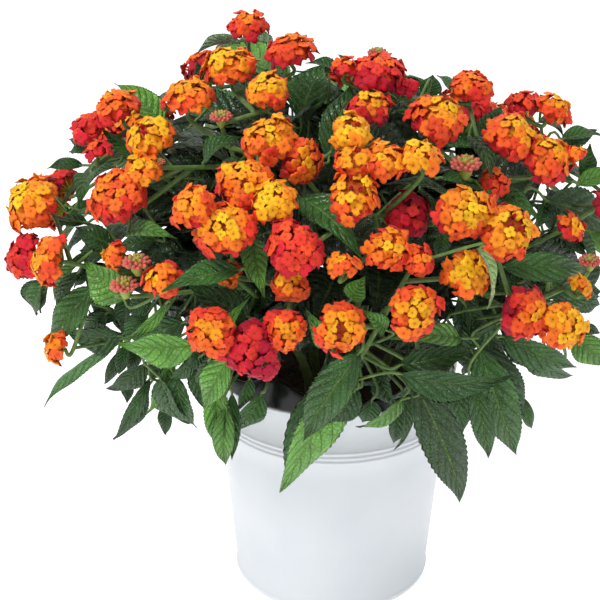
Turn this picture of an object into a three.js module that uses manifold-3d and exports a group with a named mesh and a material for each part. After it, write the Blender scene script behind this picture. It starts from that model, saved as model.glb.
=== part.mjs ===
// A lantana in flower, standing in its nursery pot inside a white metal planter.
// Millimetres, +Z up. The origin is the centre of the planter's flat bottom, and -Y is the front.

import * as THREE from 'three';
import { ConvexHull } from 'three/addons/math/ConvexHull.js';
import { mergeVertices } from 'three/addons/utils/BufferGeometryUtils.js';
import Module from 'manifold-3d';

const wasm = await Module();
wasm.setup();

// ---------- driving dimensions ----------

const GAP = 0.35; // clearance kept between any two pieces

// planter
const PLANTER_BASE_RADIUS = 75.3;
const PLANTER_FLARE = 0.0863; // growth of the radius per millimetre of height
const PLANTER_HEIGHT = 178;
const PLANTER_WALL = 1.6;
const PLANTER_FLOOR = 2.4;
const PLANTER_SIDES = 32;
const BEAD_TOP = 146.6; // top line of the raised beads
const BEAD_PITCH = 3.9;
const BEAD_HEIGHT = 1.1;
const FOOT_BEAD = 6; // height of the bead round the foot

// nursery pot
const POT_BASE_RADIUS = 66;
const POT_TOP_RADIUS = 84.5;
const POT_WALL = 1.6;
const POT_BOTTOM = 2.5;
const POT_SIDES = 32;
const LIP_RADIUS = 94;
const LIP_HEIGHT = 10;
const FOLD_TURN = -27; // degrees from the front to the buckled stretch of the lip
const FOLD_WIDTH = 13;
const FOLD_LIFT = 13;

// soil
const SOIL_EDGE = 168;
const SOIL_CROWN = 174;
const SOIL_SIDES = POT_SIDES / 2; // so that its corners face corners of the pot
const ROOT_DEPTH = 24; // how deep the stems stand in the soil

// bush: a dome that is round above its widest level and flat below it
const DOME_CENTRE = new THREE.Vector3(-10, 5, 275);
const DOME_ACROSS = 234;
const DOME_DEEP = 202;
const DOME_UP = 160;
const DOME_DOWN = 78;

// shoots
// Main stems: turn round the pot from the front in degrees, rise of the hub, distance of the root.
const SHOOTS = [
  [-70, -2, 50], [-22, 0, 50], [14, -4, 50], [50, 2, 50], [90, 6, 50],
  [134, 8, 50], [180, 2, 50], [228, 8, 50],
  [-72, 38, 26], [-32, 40, 26], [8, 34, 26], [48, 38, 26], [130, 46, 26], [215, 46, 26],
];
const HUB_SHELL = 0.5;
const STEM_RADIUS = 3.4;
const HUB_RADIUS = 2; // of a main stem at its hub
const BRANCH_RADIUS = 1.7;
const BRANCH_ROOT_RADIUS = 0.35; // where a branch leaves the one that carries it
const NECK_SHARE = 0.5; // length of the straight end under a head, to the head's radius
const JOIN_ABOVE = 45; // lowest place above the soil where anything leaves a stem
const JOIN_REACH = 0.7; // share of a stem, from its root, that others may leave from
const JOIN_SAMPLES = 10;
const JOIN_BEYOND = 40;
const STALK_RADIUS = 0.9;
const STALK_INTO_BLADE = 0.06; // share of the midrib that a stalk of its own runs under the blade
const STALK_CLEAR = 0.5; // how far inside the wedge behind a blade its join has to lie
const WEDGE_MARGIN = 1.15;

// leaves
const LEAF_THICKNESS = 1.8; // at the midrib, thinning towards the toothed edge
const LEAF_FOLD = 0.22;
const LEAF_ARCH = 0.1;
const SPREAD_LEAVES = 38; // on the sides and the back
const SPREAD_FROM = 82; // turn where they start, and how far round they go
const SPREAD_ROUND = 192;
// Steps tried, outward and inward, to bring a leaf clear of what is there already.
const LEAF_SLIDES = [0, -4, 4, -8, 8, -12, 12, -16, 16, -20, 20, -25, 25, -30, 30];

// flower heads
const SMALL_HEAD = 18.5; // below this radius a head has fewer florets
const TINY_HEAD = 13; // below this radius a head that stands alone is one piece with its leafy stem
const HEAD_FLATNESS = 0.82;
const HEAD_FOOT = 0.45; // reach of the underside, where the stalk meets it
const BACK_SPRAYS = 11; // touching groups of three heads on the sides and the back
const BACK_FROM = 86; // turn of the first spray, and the step to the next
const BACK_STEP = 18;
const BACK_RISES = [4, 44, 24];
// The top of the bush as the photo shows it, across and up from its middle; what stands at the
// sides and the back stays below it.
const SKYLINE = [
  [-220, 60], [-187, 97], [-158, 134], [-129, 153], [-84, 156], [-70, 188], [-40, 206], [4, 190],
  [18, 179], [62, 179], [77, 165], [136, 162], [151, 151], [180, 148], [209, 128], [235, 100],
];
const SPRAY_REACH = 24;
const LEAF_REACH = 12;
const LEAST_SHELL = 0.55;
const SPRAY_SPREAD = 13; // from the middle of a spray to each of its heads
const HEADS_APART = 0.74; // heads that touch stand this share of their two radii apart

// colours
const PLANTER_COLOUR = 0xe9ecee;
const POT_COLOUR = 0x1d2022;
const SOIL_COLOUR = 0x2a2019;
const LEAF_COLOUR = 0x2f5a2a;
const YOUNG_COLOUR = 0xffb81e;
const OLD_COLOUR = 0xc4142e;

// eye point that the front of the bush is laid out from
const EYE = new THREE.Vector3(0, -968, 642);
const EYE_TURN = THREE.MathUtils.degToRad(1.5);
const EYE_DIP = THREE.MathUtils.degToRad(23.2);
const EYE_REACH = 1032;

// Flower heads of the front, as seen from the eye point, on a plane EYE_REACH away from it:
// across, up, radius, way it faces, age of its middle and of its edge (0 yellow, 50 orange, 100 crimson),
// and how far out it stands (100 on the dome).
const HEADS = [
  [-38, 200, 16, "up", 35, 80, 100], [-52, 170, 21, "out", 10, 60, 100],
  [-7, 181, 19, "up", 35, 88, 100], [-24, 153, 17, "out", 8, 60, 100],
  [-81, 148, 20, "up", 28, 55, 100], [-134, 140, 18, "upleft", 35, 62, 100],
  [-153, 125, 16, "upleft", 65, 85, 96], [-110, 119, 18, "out", 3, 45, 100],
  [-148, 109, 11, "up", 60, 90, 98], [-115, 95, 15, "out", 15, 52, 98],
  [-136, 73, 24, "out", 40, 78, 102], [-196, 70, 24, "out", 8, 55, 100],
  [-201, 31, 20, "left", 75, 82, 100], [-182, 29, 21, "left", 25, 60, 100],
  [-22, 118, 21, "out", 15, 62, 100], [5, 99, 18, "right", 30, 78, 100],
  [-40, 85, 23, "out", 18, 76, 100], [-83, 71, 18, "out", 30, 66, 100],
  [-20, 73, 18, "out", 5, 40, 102], [-54, 51, 23, "out", 4, 85, 102],
  [-4, 38, 23, "out", 66, 80, 102], [-7, 12, 15, "out", 30, 60, 90],
  [28, 171, 12, "up", 40, 92, 100], [58, 165, 22, "up", 55, 92, 100],
  [76, 156, 10, "up", 80, 95, 98], [51, 140, 17, "out", 20, 96, 98],
  [126, 155, 18, "up", 45, 62, 100], [101, 132, 23, "out", 14, 78, 100],
  [165, 144, 13, "up", 60, 78, 98], [192, 137, 16, "upright", 32, 60, 100],
  [154, 120, 21, "out", 18, 78, 100], [185, 100, 23, "out", 18, 82, 100],
  [37, 124, 16, "out", 0, 35, 98], [39, 102, 15, "out", 8, 55, 99],
  [69, 101, 17, "out", 20, 60, 98], [39, 76, 21, "out", 10, 66, 101],
  [100, 104, 18, "up", 18, 42, 100], [143, 86, 12, "out", 55, 66, 92],
  [79, 62, 19, "out", 86, 97, 88], [121, 64, 23, "out", 8, 66, 102],
  [160, 46, 23, "out", 4, 68, 102], [65, 37, 18, "out", 20, 80, 100],
  [91, 28, 13, "out", 40, 76, 90], [123, 20, 19, "out", 8, 50, 98],
  [32, 25, 13, "up", 35, 52, 102], [84, -8, 21, "out", 18, 82, 102],
  [30, -21, 20, "out", 8, 76, 103], [-73, -19, 21, "out", 24, 82, 102],
  [-35, -37, 23, "out", 85, 97, 101], [-12, -23, 17, "out", 30, 76, 99],
  [-101, 15, 15, "out", 24, 72, 96], [-135, 32, 12, "left", 30, 60, 93],
  [-178, -35, 13, "left", 35, 52, 100], [166, -10, 21, "out", 35, 97, 100],
  [201, -22, 19, "out", 14, 52, 100], [198, 54, 12, "out", 18, 82, 92],
  [223, 71, 10, "out", 85, 95, 100], [206, 10, 10, "upright", 20, 40, 96],
  [-52, 19, 10, "out", 30, 60, 88], [212, 110, 7, "up", 30, 60, 100],
];

// Heads that grow into each other; the second of each pair is brought up to the first.
const TOUCHING = [
  [5, 6], [9, 10], [12, 13], [14, 15], [16, 18], [19, 17], [23, 22], [23, 24], [28, 29], [30, 31], [31, 59],
  [35, 33], [33, 32], [33, 34], [34, 36], [39, 40], [41, 42], [48, 47], [48, 49], [53, 54],
];

// Heads still in bud, and a fruit: across, up, radius.
const BUDS = [
  [57, 181, 7], [122, 99, 11], [-120, 27, 10], [-129, 10, 10],
  [-58, 134, 8], [213, 28, 8], [39, -57, 4], [-104, 101, 5],
];

// Leaves of the front: across and up of the base, across and up of the tip, width, turn about the
// midrib in degrees and, for those that hang outside the dome, the y of the base and of the tip.
const LEAVES = [
  [38, -48, -15, -145, 44, 0, -165, -134], [44, -38, 1, -105, 32, -35, -176, -160],
  [41, -65, 19, -92, 23, 0, -168, -162], [75, -73, 41, -94, 18, 0, -150, -128],
  [82, -57, 119, -153, 43, 15, -150, -118], [76, -71, 71, -112, 10, 40, -128, -118],
  [72, -54, 156, -57, 25, -10, -188, -176], [73, -48, 131, -34, 21, 10, -172, -168],
  [118, -28, 67, -28, 18, -20], [131, -34, 160, -116, 35, 0, -124, -98],
  [128, -62, 138, -118, 19, -20, -134, -112], [134, -32, 165, -88, 29, 10, -100, -80],
  [163, -71, 170, -95, 10, 0, -88, -70], [147, -26, 204, -50, 26, 10, -110, -80],
  [175, -18, 197, -46, 9, 50, -134, -110], [200, -24, 229, -47, 25, 0, -56, -40],
  [-138, -35, -187, -82, 15, 30, -66, -52], [-113, -65, -137, -104, 16, 20, -66, -58],
  [-95, -44, -113, -84, 18, 30, -96, -84], [-103, -60, -81, -91, 26, 0, -88, -74],
  [-98, -76, -99, -100, 12, 0, -64, -58], [-51, -41, -71, -80, 25, -30, -144, -128],
  [-62, -59, -57, -113, 21, 20, -112, -96], [-54, -79, -55, -124, 15, 0, -112, -98],
  [-37, -56, -46, -82, 13, 20, -116, -106], [-28, -68, -49, -97, 21, 0, -112, -98],
  [-76, -33, -134, -33, 32, 10, -160, -150], [-97, -1, -133, -31, 10, 60, -166, -150],
  [-131, -26, -174, -22, 26, 0, -104, -90], [-129, 0, -159, 29, 32, 0, -120, -112],
  [-151, 10, -185, -35, 26, 0, -112, -96], [-165, 26, -181, 0, 15, 0, -82, -74],
  [-190, 12, -195, -12, 20, 0, -66, -58], [-156, 57, -182, 56, 13, 0, -66, -60],
  [-154, 35, -172, 25, 7, 40, -112, -112], [-159, 99, -187, 97, 10, 20, -16, -6],
  [-100, 128, -136, 160, 22, 0, -16, -4], [-110, 123, -112, 147, 10, 20, -6, 10],
  [-44, 190, -78, 181, 15, -30, 16, 24], [-121, 106, -147, 127, 11, 40],
  [-153, 93, -163, 68, 16, 20], [-126, 49, -90, 45, 18, 4],
  [-44, 22, -101, 7, 24, -15], [-37, -13, -85, 13, 25, 0],
  [-34, 44, -26, 1, 21, 0], [-1, 76, 46, 32, 31, 10],
  [21, 104, 38, 160, 26, 0], [0, 134, 18, 173, 32, 0, -40, -10],
  [-42, 104, -66, 82, 12, 0], [-71, 101, -44, 121, 18, 0],
  [112, 75, 61, 87, 15, -20], [88, 82, 100, 53, 9, 30],
  [103, 90, 137, 79, 11, 0], [137, 81, 179, 57, 20, 0],
  [132, 38, 140, -7, 13, 35, -190, -178], [148, 24, 214, 22, 24, -10, -130, -84],
  [181, 73, 232, 44, 34, 0, -84, -50], [192, 118, 223, 121, 14, 0, -20, -6],
  [137, 110, 148, 143, 28, 0, -62, -36], [125, 120, 141, 90, 21, 0],
  [94, 149, 98, 166, 18, 0, 14, 24], [93, 157, 75, 165, 8, 0, 24, 30],
  [88, 148, 65, 138, 12, 0], [206, 91, 213, 115, 15, 0, -26, -10],
  [204, 85, 234, 91, 16, 0, -30, -14], [191, -1, 222, 3, 10, 20, -66, -40],
  [-125, -57, -127, -76, 10, 0, -54, -50], [-113, -46, -143, -67, 21, 0, -92, -80],
  [22, -33, 4, -6, 18, 0], [63, -22, 44, -7, 15, 0],
  [-71, 157, -76, 176, 10, 0, 6, 12], [-62, -38, -40, 0, 19, 0],
  [202, 51, 213, 28, 19, 0, -50, -40], [37, 0, 48, 18, 18, 0, -170, -170],
];

// ---------- random draws ----------

function seededRandom(seed) {
  let state = seed;
  return () => {
    state = (state + 0x6d2b79f5) | 0;
    let mixed = Math.imul(state ^ (state >>> 15), 1 | state);
    mixed = (mixed + Math.imul(mixed ^ (mixed >>> 7), 61 | mixed)) ^ mixed;
    return ((mixed ^ (mixed >>> 14)) >>> 0) / 4294967296;
  };
}

// ---------- places on the bush ----------

const UP = new THREE.Vector3(0, 0, 1);

function sightLine(across, up) {
  const ahead = new THREE.Vector3(
    -Math.sin(EYE_TURN) * Math.cos(EYE_DIP),
    Math.cos(EYE_TURN) * Math.cos(EYE_DIP),
    -Math.sin(EYE_DIP),
  );
  const right = new THREE.Vector3(Math.cos(EYE_TURN), Math.sin(EYE_TURN), 0);
  const above = right.clone().cross(ahead);
  return ahead.multiplyScalar(EYE_REACH).addScaledVector(right, across).addScaledVector(above, up);
}

function inDome(point) {
  const offset = point.clone().sub(DOME_CENTRE);
  const tall = offset.z > 0 ? DOME_UP : DOME_DOWN;
  return new THREE.Vector3(offset.x / DOME_ACROSS, offset.y / DOME_DEEP, offset.z / tall);
}

function domeNormal(point) {
  const offset = point.clone().sub(DOME_CENTRE);
  const tall = offset.z > 0 ? DOME_UP : DOME_DOWN;
  return new THREE.Vector3(
    offset.x / DOME_ACROSS ** 2,
    offset.y / DOME_DEEP ** 2,
    offset.z / tall ** 2,
  ).normalize();
}

// The point where a line of sight first meets the dome, or passes nearest to it.
function onDome(across, up, shell) {
  const line = sightLine(across, up);
  let best = null;
  let bestLevel = Infinity;
  for (let y = -260; y <= 160; y += 2) {
    const point = EYE.clone().addScaledVector(line, (y - EYE.y) / line.y);
    const level = inDome(point).length();
    if (level < bestLevel) {
      best = point;
      bestLevel = level;
    }
    if (level <= shell) break;
  }
  return best;
}

function onDepth(across, up, y) {
  const line = sightLine(across, up);
  return EYE.clone().addScaledVector(line, (y - EYE.y) / line.y);
}

// Real size of what measures one on the plane that the front is laid out on.
function nearness(point) {
  return point.clone().sub(EYE).dot(sightLine(0, 0)) / EYE_REACH ** 2;
}

// A point of the dome from its turn round the axis (0 front, 90 right) and its rise.
function domePoint(turn, rise, shell) {
  const around = THREE.MathUtils.degToRad(turn);
  const lift = THREE.MathUtils.degToRad(rise);
  const tall = rise > 0 ? DOME_UP : DOME_DOWN;
  return new THREE.Vector3(
    DOME_CENTRE.x + shell * DOME_ACROSS * Math.sin(around) * Math.cos(lift),
    DOME_CENTRE.y - shell * DOME_DEEP * Math.cos(around) * Math.cos(lift),
    DOME_CENTRE.z + shell * tall * Math.sin(lift),
  );
}

// Where the eye sees a point, across and up on the plane that the front is laid out on.
function seenAt(point) {
  const offset = point.clone().sub(EYE);
  const ahead = sightLine(0, 0).divideScalar(EYE_REACH);
  const right = new THREE.Vector3(Math.cos(EYE_TURN), Math.sin(EYE_TURN), 0);
  const scale = EYE_REACH / offset.dot(ahead);
  return [scale * offset.dot(right), scale * offset.dot(right.clone().cross(ahead))];
}

function skylineAt(across) {
  const next = SKYLINE.findIndex(([place]) => place > across);
  if (next < 1) return SKYLINE.at(next).at(1);
  const [start, low] = SKYLINE[next - 1];
  const [end, high] = SKYLINE[next];
  return low + ((high - low) * (across - start)) / (end - start);
}

// How far out, up to 0.99, what reaches so high above its place stays below the skyline.
function hiddenShell(turn, rise, reach) {
  let shell = 0.99;
  const showing = () => {
    const [across, up] = seenAt(domePoint(turn, rise, shell));
    return up + reach > skylineAt(across);
  };
  while (shell > LEAST_SHELL && showing()) shell -= 0.01;
  return shell;
}

// ---------- solids ----------

function solidFrom(positions, faces) {
  return new wasm.Manifold(new wasm.Mesh({
    numProp: 3,
    vertProperties: new Float32Array(positions.flatMap((p) => [p.x, p.y, p.z])),
    triVerts: new Uint32Array(faces.flat()),
  }));
}

function solidFromGeometry(geometry) {
  const bare = geometry.clone();
  bare.deleteAttribute('normal');
  bare.deleteAttribute('uv');
  const merged = mergeVertices(bare, 1e-4);
  return new wasm.Manifold(new wasm.Mesh({
    numProp: 3,
    vertProperties: Float32Array.from(merged.attributes.position.array),
    triVerts: Uint32Array.from(merged.index.array),
  }));
}

function geometryFrom(solid) {
  const mesh = solid.getMesh();
  const geometry = new THREE.BufferGeometry();
  geometry.setAttribute('position', new THREE.BufferAttribute(Float32Array.from(mesh.vertProperties), 3));
  geometry.setIndex(new THREE.BufferAttribute(Uint32Array.from(mesh.triVerts), 1));
  geometry.computeVertexNormals();
  return geometry;
}

// A closed tube along points, with a radius at each.
function tube(points, radii, sides) {
  const positions = [];
  const faces = [];
  let side = null;
  points.forEach((point, i) => {
    const before = points[Math.max(i - 1, 0)];
    const after = points[Math.min(i + 1, points.length - 1)];
    const along = after.clone().sub(before).normalize();
    side ??= new THREE.Vector3(0.31, 0.9, 0.22).cross(along).normalize();
    side.addScaledVector(along, -side.dot(along)).normalize();
    const third = along.clone().cross(side);
    for (let k = 0; k < sides; k += 1) {
      const angle = (2 * Math.PI * k) / sides;
      positions.push(point.clone()
        .addScaledVector(side, radii[i] * Math.cos(angle))
        .addScaledVector(third, radii[i] * Math.sin(angle)));
    }
  });
  for (let i = 0; i + 1 < points.length; i += 1) {
    for (let k = 0; k < sides; k += 1) {
      const a = i * sides + k;
      const b = i * sides + ((k + 1) % sides);
      faces.push([a, b, b + sides], [a, b + sides, a + sides]);
    }
  }
  const last = (points.length - 1) * sides;
  for (let k = 1; k + 1 < sides; k += 1) {
    faces.push([0, k + 1, k], [last, last + k, last + k + 1]);
  }
  return solidFrom(positions, faces);
}

const tubeOf = ({ points, radii, sides }, swell) => tube(points, radii.map((r) => r + 1.6 * swell), sides);

// Points of a bow from start to end that leaves the end along the direction given.
function bow(start, end, arrival, pull, steps) {
  const control = end.clone().addScaledVector(arrival, -pull * start.distanceTo(end));
  const curve = new THREE.QuadraticBezierCurve3(start, control, end);
  return curve.getPoints(steps);
}

function boxesMeet(a, b) {
  const first = a.boundingBox();
  const second = b.boundingBox();
  return [0, 1, 2].every((axis) => (
    first.min[axis] <= second.max[axis] && second.min[axis] <= first.max[axis]));
}

function cutBy(solid, cutters) {
  const near = cutters.filter((cutter) => boxesMeet(solid, cutter));
  if (near.length === 0) return solid;
  return solid.subtract(wasm.Manifold.union(near));
}

function largestBody(solid) {
  const bodies = solid.decompose();
  bodies.sort((a, b) => b.volume() - a.volume());
  return bodies[0];
}

// ---------- leaf ----------

// Half outline of the blade: place along the midrib and half width, with two blunt teeth a side.
const LEAF_EDGE = [[0.13, 0.74], [0.38, 1], [0.46, 0.84], [0.69, 0.7], [0.76, 0.48]];
const LEAF_RIB = [0.3, 0.64];
const LEAF_NECK = 0.02;

function leafFrame(base, tip, turn) {
  const along = tip.clone().sub(base).normalize();
  const middle = base.clone().lerp(tip, 0.5);
  const outward = domeNormal(middle).addScaledVector(UP, 0.55);
  outward.y -= 0.25;
  const normal = outward.addScaledVector(along, -outward.dot(along)).normalize();
  const side = normal.clone().cross(along);
  const angle = THREE.MathUtils.degToRad(turn);
  const turned = normal.clone().multiplyScalar(Math.cos(angle)).addScaledVector(side, Math.sin(angle));
  return { along, normal: turned, side: turned.clone().cross(along) };
}

function midribPoint({ base, tip, turn }, t) {
  const arch = LEAF_ARCH * base.distanceTo(tip) * 4 * t * (1 - t);
  return base.clone().lerp(tip, t).addScaledVector(leafFrame(base, tip, turn).normal, arch);
}

// The blade, thickest at its rib, with its stalk running down to a point at the join.
function leafSolid(leaf, swell, join) {
  const { base, tip, width, turn } = leaf;
  const length = base.distanceTo(tip);
  const { along, normal, side } = leafFrame(base, tip, turn);
  const half = width / 2 + swell;
  const rise = LEAF_THICKNESS / 2 + swell;
  const place = (t, across, lift) => {
    const arch = LEAF_ARCH * length * 4 * t * (1 - t);
    const fold = LEAF_FOLD * half * Math.abs(across);
    return base.clone()
      .addScaledVector(along, t * (length + swell))
      .addScaledVector(side, across * half)
      .addScaledVector(normal, arch + fold + lift);
  };
  const rim = LEAF_EDGE.map(([t, w]) => place(t, w, 0));
  rim.push(place(1, 0, 0));
  [...LEAF_EDGE].reverse().forEach(([t, w]) => rim.push(place(t, -w, 0)));
  const foot = join ?? place(-LEAF_NECK, 0, 0);
  const ribs = (sign) => [LEAF_NECK, ...LEAF_RIB].map((t) => place(t, 0, sign * rise));
  // corners: 0-4 one edge, 5 tip, 6-10 the other edge, 11 foot, then three rib points on each face
  const face = (neck, rib1, rib2) => [
    [0, 11, neck], [0, neck, rib1], [1, 0, rib1], [2, 1, rib1], [rib2, 2, rib1], [3, 2, rib2], [4, 3, rib2],
    [5, 4, rib2], [6, 5, rib2], [7, 6, rib2], [8, 7, rib2], [rib1, 8, rib2], [9, 8, rib1], [10, 9, rib1],
    [neck, 10, rib1], [11, 10, neck],
  ];
  if (swell === 0) {
    const positions = [...rim, foot, ...ribs(1), ...ribs(-1)];
    const bottom = face(15, 16, 17).map(([a, b, c]) => [a, c, b]);
    return solidFrom(positions, [...face(12, 13, 14), ...bottom]);
  }
  // the swollen copy, used for cutting, has a blunt edge
  const outline = [...rim, foot];
  const lift = (points, amount) => points.map((p) => p.clone().addScaledVector(normal, amount));
  const positions = [...lift(outline, swell), ...ribs(1), ...lift(outline, -swell), ...ribs(-1)];
  const count = outline.length + 3;
  const top = face(12, 13, 14);
  const bottom = top.map(([a, b, c]) => [a + count, c + count, b + count]);
  const wall = outline.flatMap((_, k) => {
    const next = (k + 1) % outline.length;
    return [[k, next, next + count], [k, next + count, k + count]];
  });
  return solidFrom(positions, [...top, ...bottom, ...wall]);
}

// ---------- flower head ----------

// Directions and reach of the head's corners: each floret has a sunk eye and four lobe tips.
function headCorners(seed, ring) {
  const random = seededRandom(seed);
  const corners = [];
  const floret = (polar, around) => {
    const eye = new THREE.Vector3().setFromSphericalCoords(1, polar, around);
    const side = new THREE.Vector3(0.2, 0.3, 1).cross(eye).normalize();
    const third = eye.clone().cross(side);
    const spin = random() * Math.PI;
    corners.push([eye, 0.9 + 0.03 * random()]);
    for (let lobe = 0; lobe < 4; lobe += 1) {
      const angle = spin + (lobe * Math.PI) / 2;
      const tip = eye.clone()
        .addScaledVector(side, 0.36 * Math.cos(angle))
        .addScaledVector(third, 0.36 * Math.sin(angle))
        .normalize();
      corners.push([tip, 1 + 0.06 * random()]);
    }
  };
  floret(0.04, 0);
  for (let k = 0; k < ring; k += 1) {
    floret(1.1 + 0.06 * random(), (2 * Math.PI * (k + 0.15 * random())) / ring);
  }
  corners.push([new THREE.Vector3(0, -1, 0), HEAD_FOOT]);
  return corners;
}

function headShape(seed, ring) {
  const corners = headCorners(seed, ring);
  const hull = new ConvexHull().setFromPoints(corners.map(([way]) => way));
  const index = new Map(corners.map(([way], i) => [way, i]));
  const faces = hull.faces.map((face) => {
    const edges = [face.edge, face.edge.next, face.edge.next.next];
    return edges.map((edge) => index.get(edge.head().point));
  });
  return { corners, faces };
}

const LARGE_HEADS = [11, 12, 13].map((seed) => headShape(seed, 5));
const SMALL_HEADS = [14, 15].map((seed) => headShape(seed, 4));

function headSolid(head, swell) {
  const shapes = head.radius < SMALL_HEAD ? SMALL_HEADS : LARGE_HEADS;
  const { corners, faces } = shapes[head.index % shapes.length];
  const turn = new THREE.Quaternion().setFromUnitVectors(new THREE.Vector3(0, 1, 0), head.facing);
  const positions = corners.map(([way, reach]) => {
    const point = way.clone().multiplyScalar(reach * head.radius + 1.3 * swell);
    point.y *= HEAD_FLATNESS;
    return point.applyQuaternion(turn).add(head.centre);
  });
  return solidFrom(positions, faces);
}

function budSolid(bud) {
  const geometry = new THREE.IcosahedronGeometry(bud.radius, 0).translate(...bud.centre.toArray());
  return solidFromGeometry(geometry);
}

const FACINGS = {
  up: new THREE.Vector3(0, -0.1, 1),
  upleft: new THREE.Vector3(-0.45, -0.1, 1),
  upright: new THREE.Vector3(0.6, -0.1, 1),
  left: new THREE.Vector3(-1, -0.2, 0.25),
  right: new THREE.Vector3(0.7, -0.9, 0.1),
};

function facingOf(name, centre) {
  if (name in FACINGS) return FACINGS[name].clone().normalize();
  return domeNormal(centre).addScaledVector(UP, 0.25).normalize();
}

// ---------- planter, nursery pot and soil ----------

function lathe(profile, sides) {
  const points = profile.map(([r, z]) => new THREE.Vector2(r, z));
  return new THREE.LatheGeometry(points, sides).rotateX(Math.PI / 2);
}

function planterSolid() {
  const wall = (z) => PLANTER_BASE_RADIUS + PLANTER_FLARE * z;
  const bead = (top) => [
    [wall(top - BEAD_PITCH), top - BEAD_PITCH],
    [wall(top - BEAD_PITCH / 2) + BEAD_HEIGHT, top - BEAD_PITCH / 2],
  ];
  const profile = [
    [0, 0],
    [wall(0), 0],
    [wall(0) + 1.3, FOOT_BEAD * 0.3],
    [wall(0) + 1.3, FOOT_BEAD * 0.7],
    [wall(FOOT_BEAD), FOOT_BEAD],
    ...bead(BEAD_TOP - BEAD_PITCH),
    ...bead(BEAD_TOP),
    [wall(BEAD_TOP), BEAD_TOP],
    [wall(PLANTER_HEIGHT - 4), PLANTER_HEIGHT - 4],
    [wall(PLANTER_HEIGHT) + 1.4, PLANTER_HEIGHT - 2.4],
    [wall(PLANTER_HEIGHT) + 0.6, PLANTER_HEIGHT],
    [wall(PLANTER_HEIGHT) - 1.2, PLANTER_HEIGHT],
    [wall(PLANTER_HEIGHT) - PLANTER_WALL - 0.4, PLANTER_HEIGHT - 2],
    [wall(PLANTER_FLOOR) - PLANTER_WALL, PLANTER_FLOOR],
    [0, PLANTER_FLOOR],
  ];
  return solidFromGeometry(lathe(profile, PLANTER_SIDES));
}

const POT_FLOOR = PLANTER_FLOOR + GAP;
const LIP_UNDER = PLANTER_HEIGHT + GAP;

function potRadius(z) {
  return POT_BASE_RADIUS + ((POT_TOP_RADIUS - POT_BASE_RADIUS) * (z - POT_FLOOR)) / (LIP_UNDER - POT_FLOOR);
}

// How far the lip is buckled at a place round the pot, from 0 to 1.
function foldAt(x, y) {
  const turn = THREE.MathUtils.radToDeg(Math.atan2(x, -y));
  return Math.exp(-(((turn - FOLD_TURN) / FOLD_WIDTH) ** 2));
}

function nurseryPotSolid() {
  const top = LIP_UNDER + LIP_HEIGHT;
  const profile = [
    [0, POT_FLOOR],
    [POT_BASE_RADIUS, POT_FLOOR],
    [potRadius(LIP_UNDER), LIP_UNDER],
    [LIP_RADIUS - 0.8, LIP_UNDER],
    [LIP_RADIUS, LIP_UNDER + LIP_HEIGHT * 0.4],
    [LIP_RADIUS - 1.5, top],
    [LIP_RADIUS - 5, top],
    [potRadius(LIP_UNDER) - POT_WALL, LIP_UNDER + 3],
    [POT_BASE_RADIUS - POT_WALL, POT_FLOOR + POT_BOTTOM],
    [0, POT_FLOOR + POT_BOTTOM],
  ];
  const geometry = lathe(profile, POT_SIDES);
  const place = geometry.attributes.position;
  for (let i = 0; i < place.count; i += 1) {
    const above = Math.max(0, place.getZ(i) - LIP_UNDER - 1) / (LIP_HEIGHT - 1);
    place.setZ(i, place.getZ(i) + above * FOLD_LIFT * foldAt(place.getX(i), place.getY(i)));
  }
  return solidFromGeometry(geometry);
}

function soilSolid() {
  const inside = (z) => potRadius(z) - POT_WALL - 2 * GAP;
  const floor = POT_FLOOR + POT_BOTTOM + GAP;
  const profile = [
    [0, floor],
    [inside(floor) - 0.6, floor],
    [inside(SOIL_EDGE), SOIL_EDGE],
    [inside(SOIL_EDGE) * 0.72, SOIL_EDGE + 3.5],
    [inside(SOIL_EDGE) * 0.38, SOIL_EDGE + 4.5],
    [0, SOIL_CROWN],
  ];
  const geometry = lathe(profile, SOIL_SIDES);
  const place = geometry.attributes.position;
  for (let i = 0; i < place.count; i += 1) {
    const x = place.getX(i);
    const y = place.getY(i);
    if (place.getZ(i) > SOIL_EDGE + 1 && Math.hypot(x, y) > 1) {
      place.setZ(i, place.getZ(i) + 1.4 * Math.sin(0.19 * x + 0.4) * Math.cos(0.23 * y));
    }
  }
  return solidFromGeometry(geometry);
}

// ---------- shoots ----------

const shoots = SHOOTS.map(([turn, rise, rootRadius]) => {
  const around = THREE.MathUtils.degToRad(turn);
  const root = new THREE.Vector3(Math.sin(around), -Math.cos(around), 0).multiplyScalar(rootRadius);
  root.z = SOIL_CROWN - ROOT_DEPTH;
  return { root, hub: domePoint(turn, rise, HUB_SHELL), stems: [], stalks: [], leaves: [], ends: [] };
});

function nearestShoot(point) {
  return shoots.reduce((best, shoot) => (
    shoot.hub.distanceTo(point) < best.hub.distanceTo(point) ? shoot : best));
}

// Main stem, from its root in the soil over the rim of the pot to its hub inside the bush.
function mainStem(shoot) {
  const outward = shoot.hub.clone().sub(new THREE.Vector3(0, 0, SOIL_CROWN)).normalize();
  const rise = new THREE.Vector3(shoot.root.x, shoot.root.y, SOIL_CROWN + 14);
  const points = [shoot.root, ...bow(rise, shoot.hub, outward, 0.3, 3)];
  const last = points.length - 1;
  const radii = points.map((_, i) => THREE.MathUtils.lerp(STEM_RADIUS, HUB_RADIUS, i / last));
  return { points, radii, sides: 3 };
}

// The branch that carries a head. It stops just short of the underside of a head that is a node
// of its own, and runs into one that is fused with the shoot.
function headBranch(shoot, head) {
  const reach = HEAD_FOOT * HEAD_FLATNESS * head.radius + (head.fused ? -1 : GAP + 0.25);
  const foot = head.centre.clone().addScaledVector(head.facing, -reach);
  const neck = foot.clone().addScaledVector(head.facing, -NECK_SHARE * head.radius);
  const points = [joinPoint(shoot, neck, (way) => way.dot(head.facing)), neck, foot];
  const radii = points.map((_, i) => (i === 0 ? BRANCH_ROOT_RADIUS : BRANCH_RADIUS));
  return { points, radii, sides: 3 };
}

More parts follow.
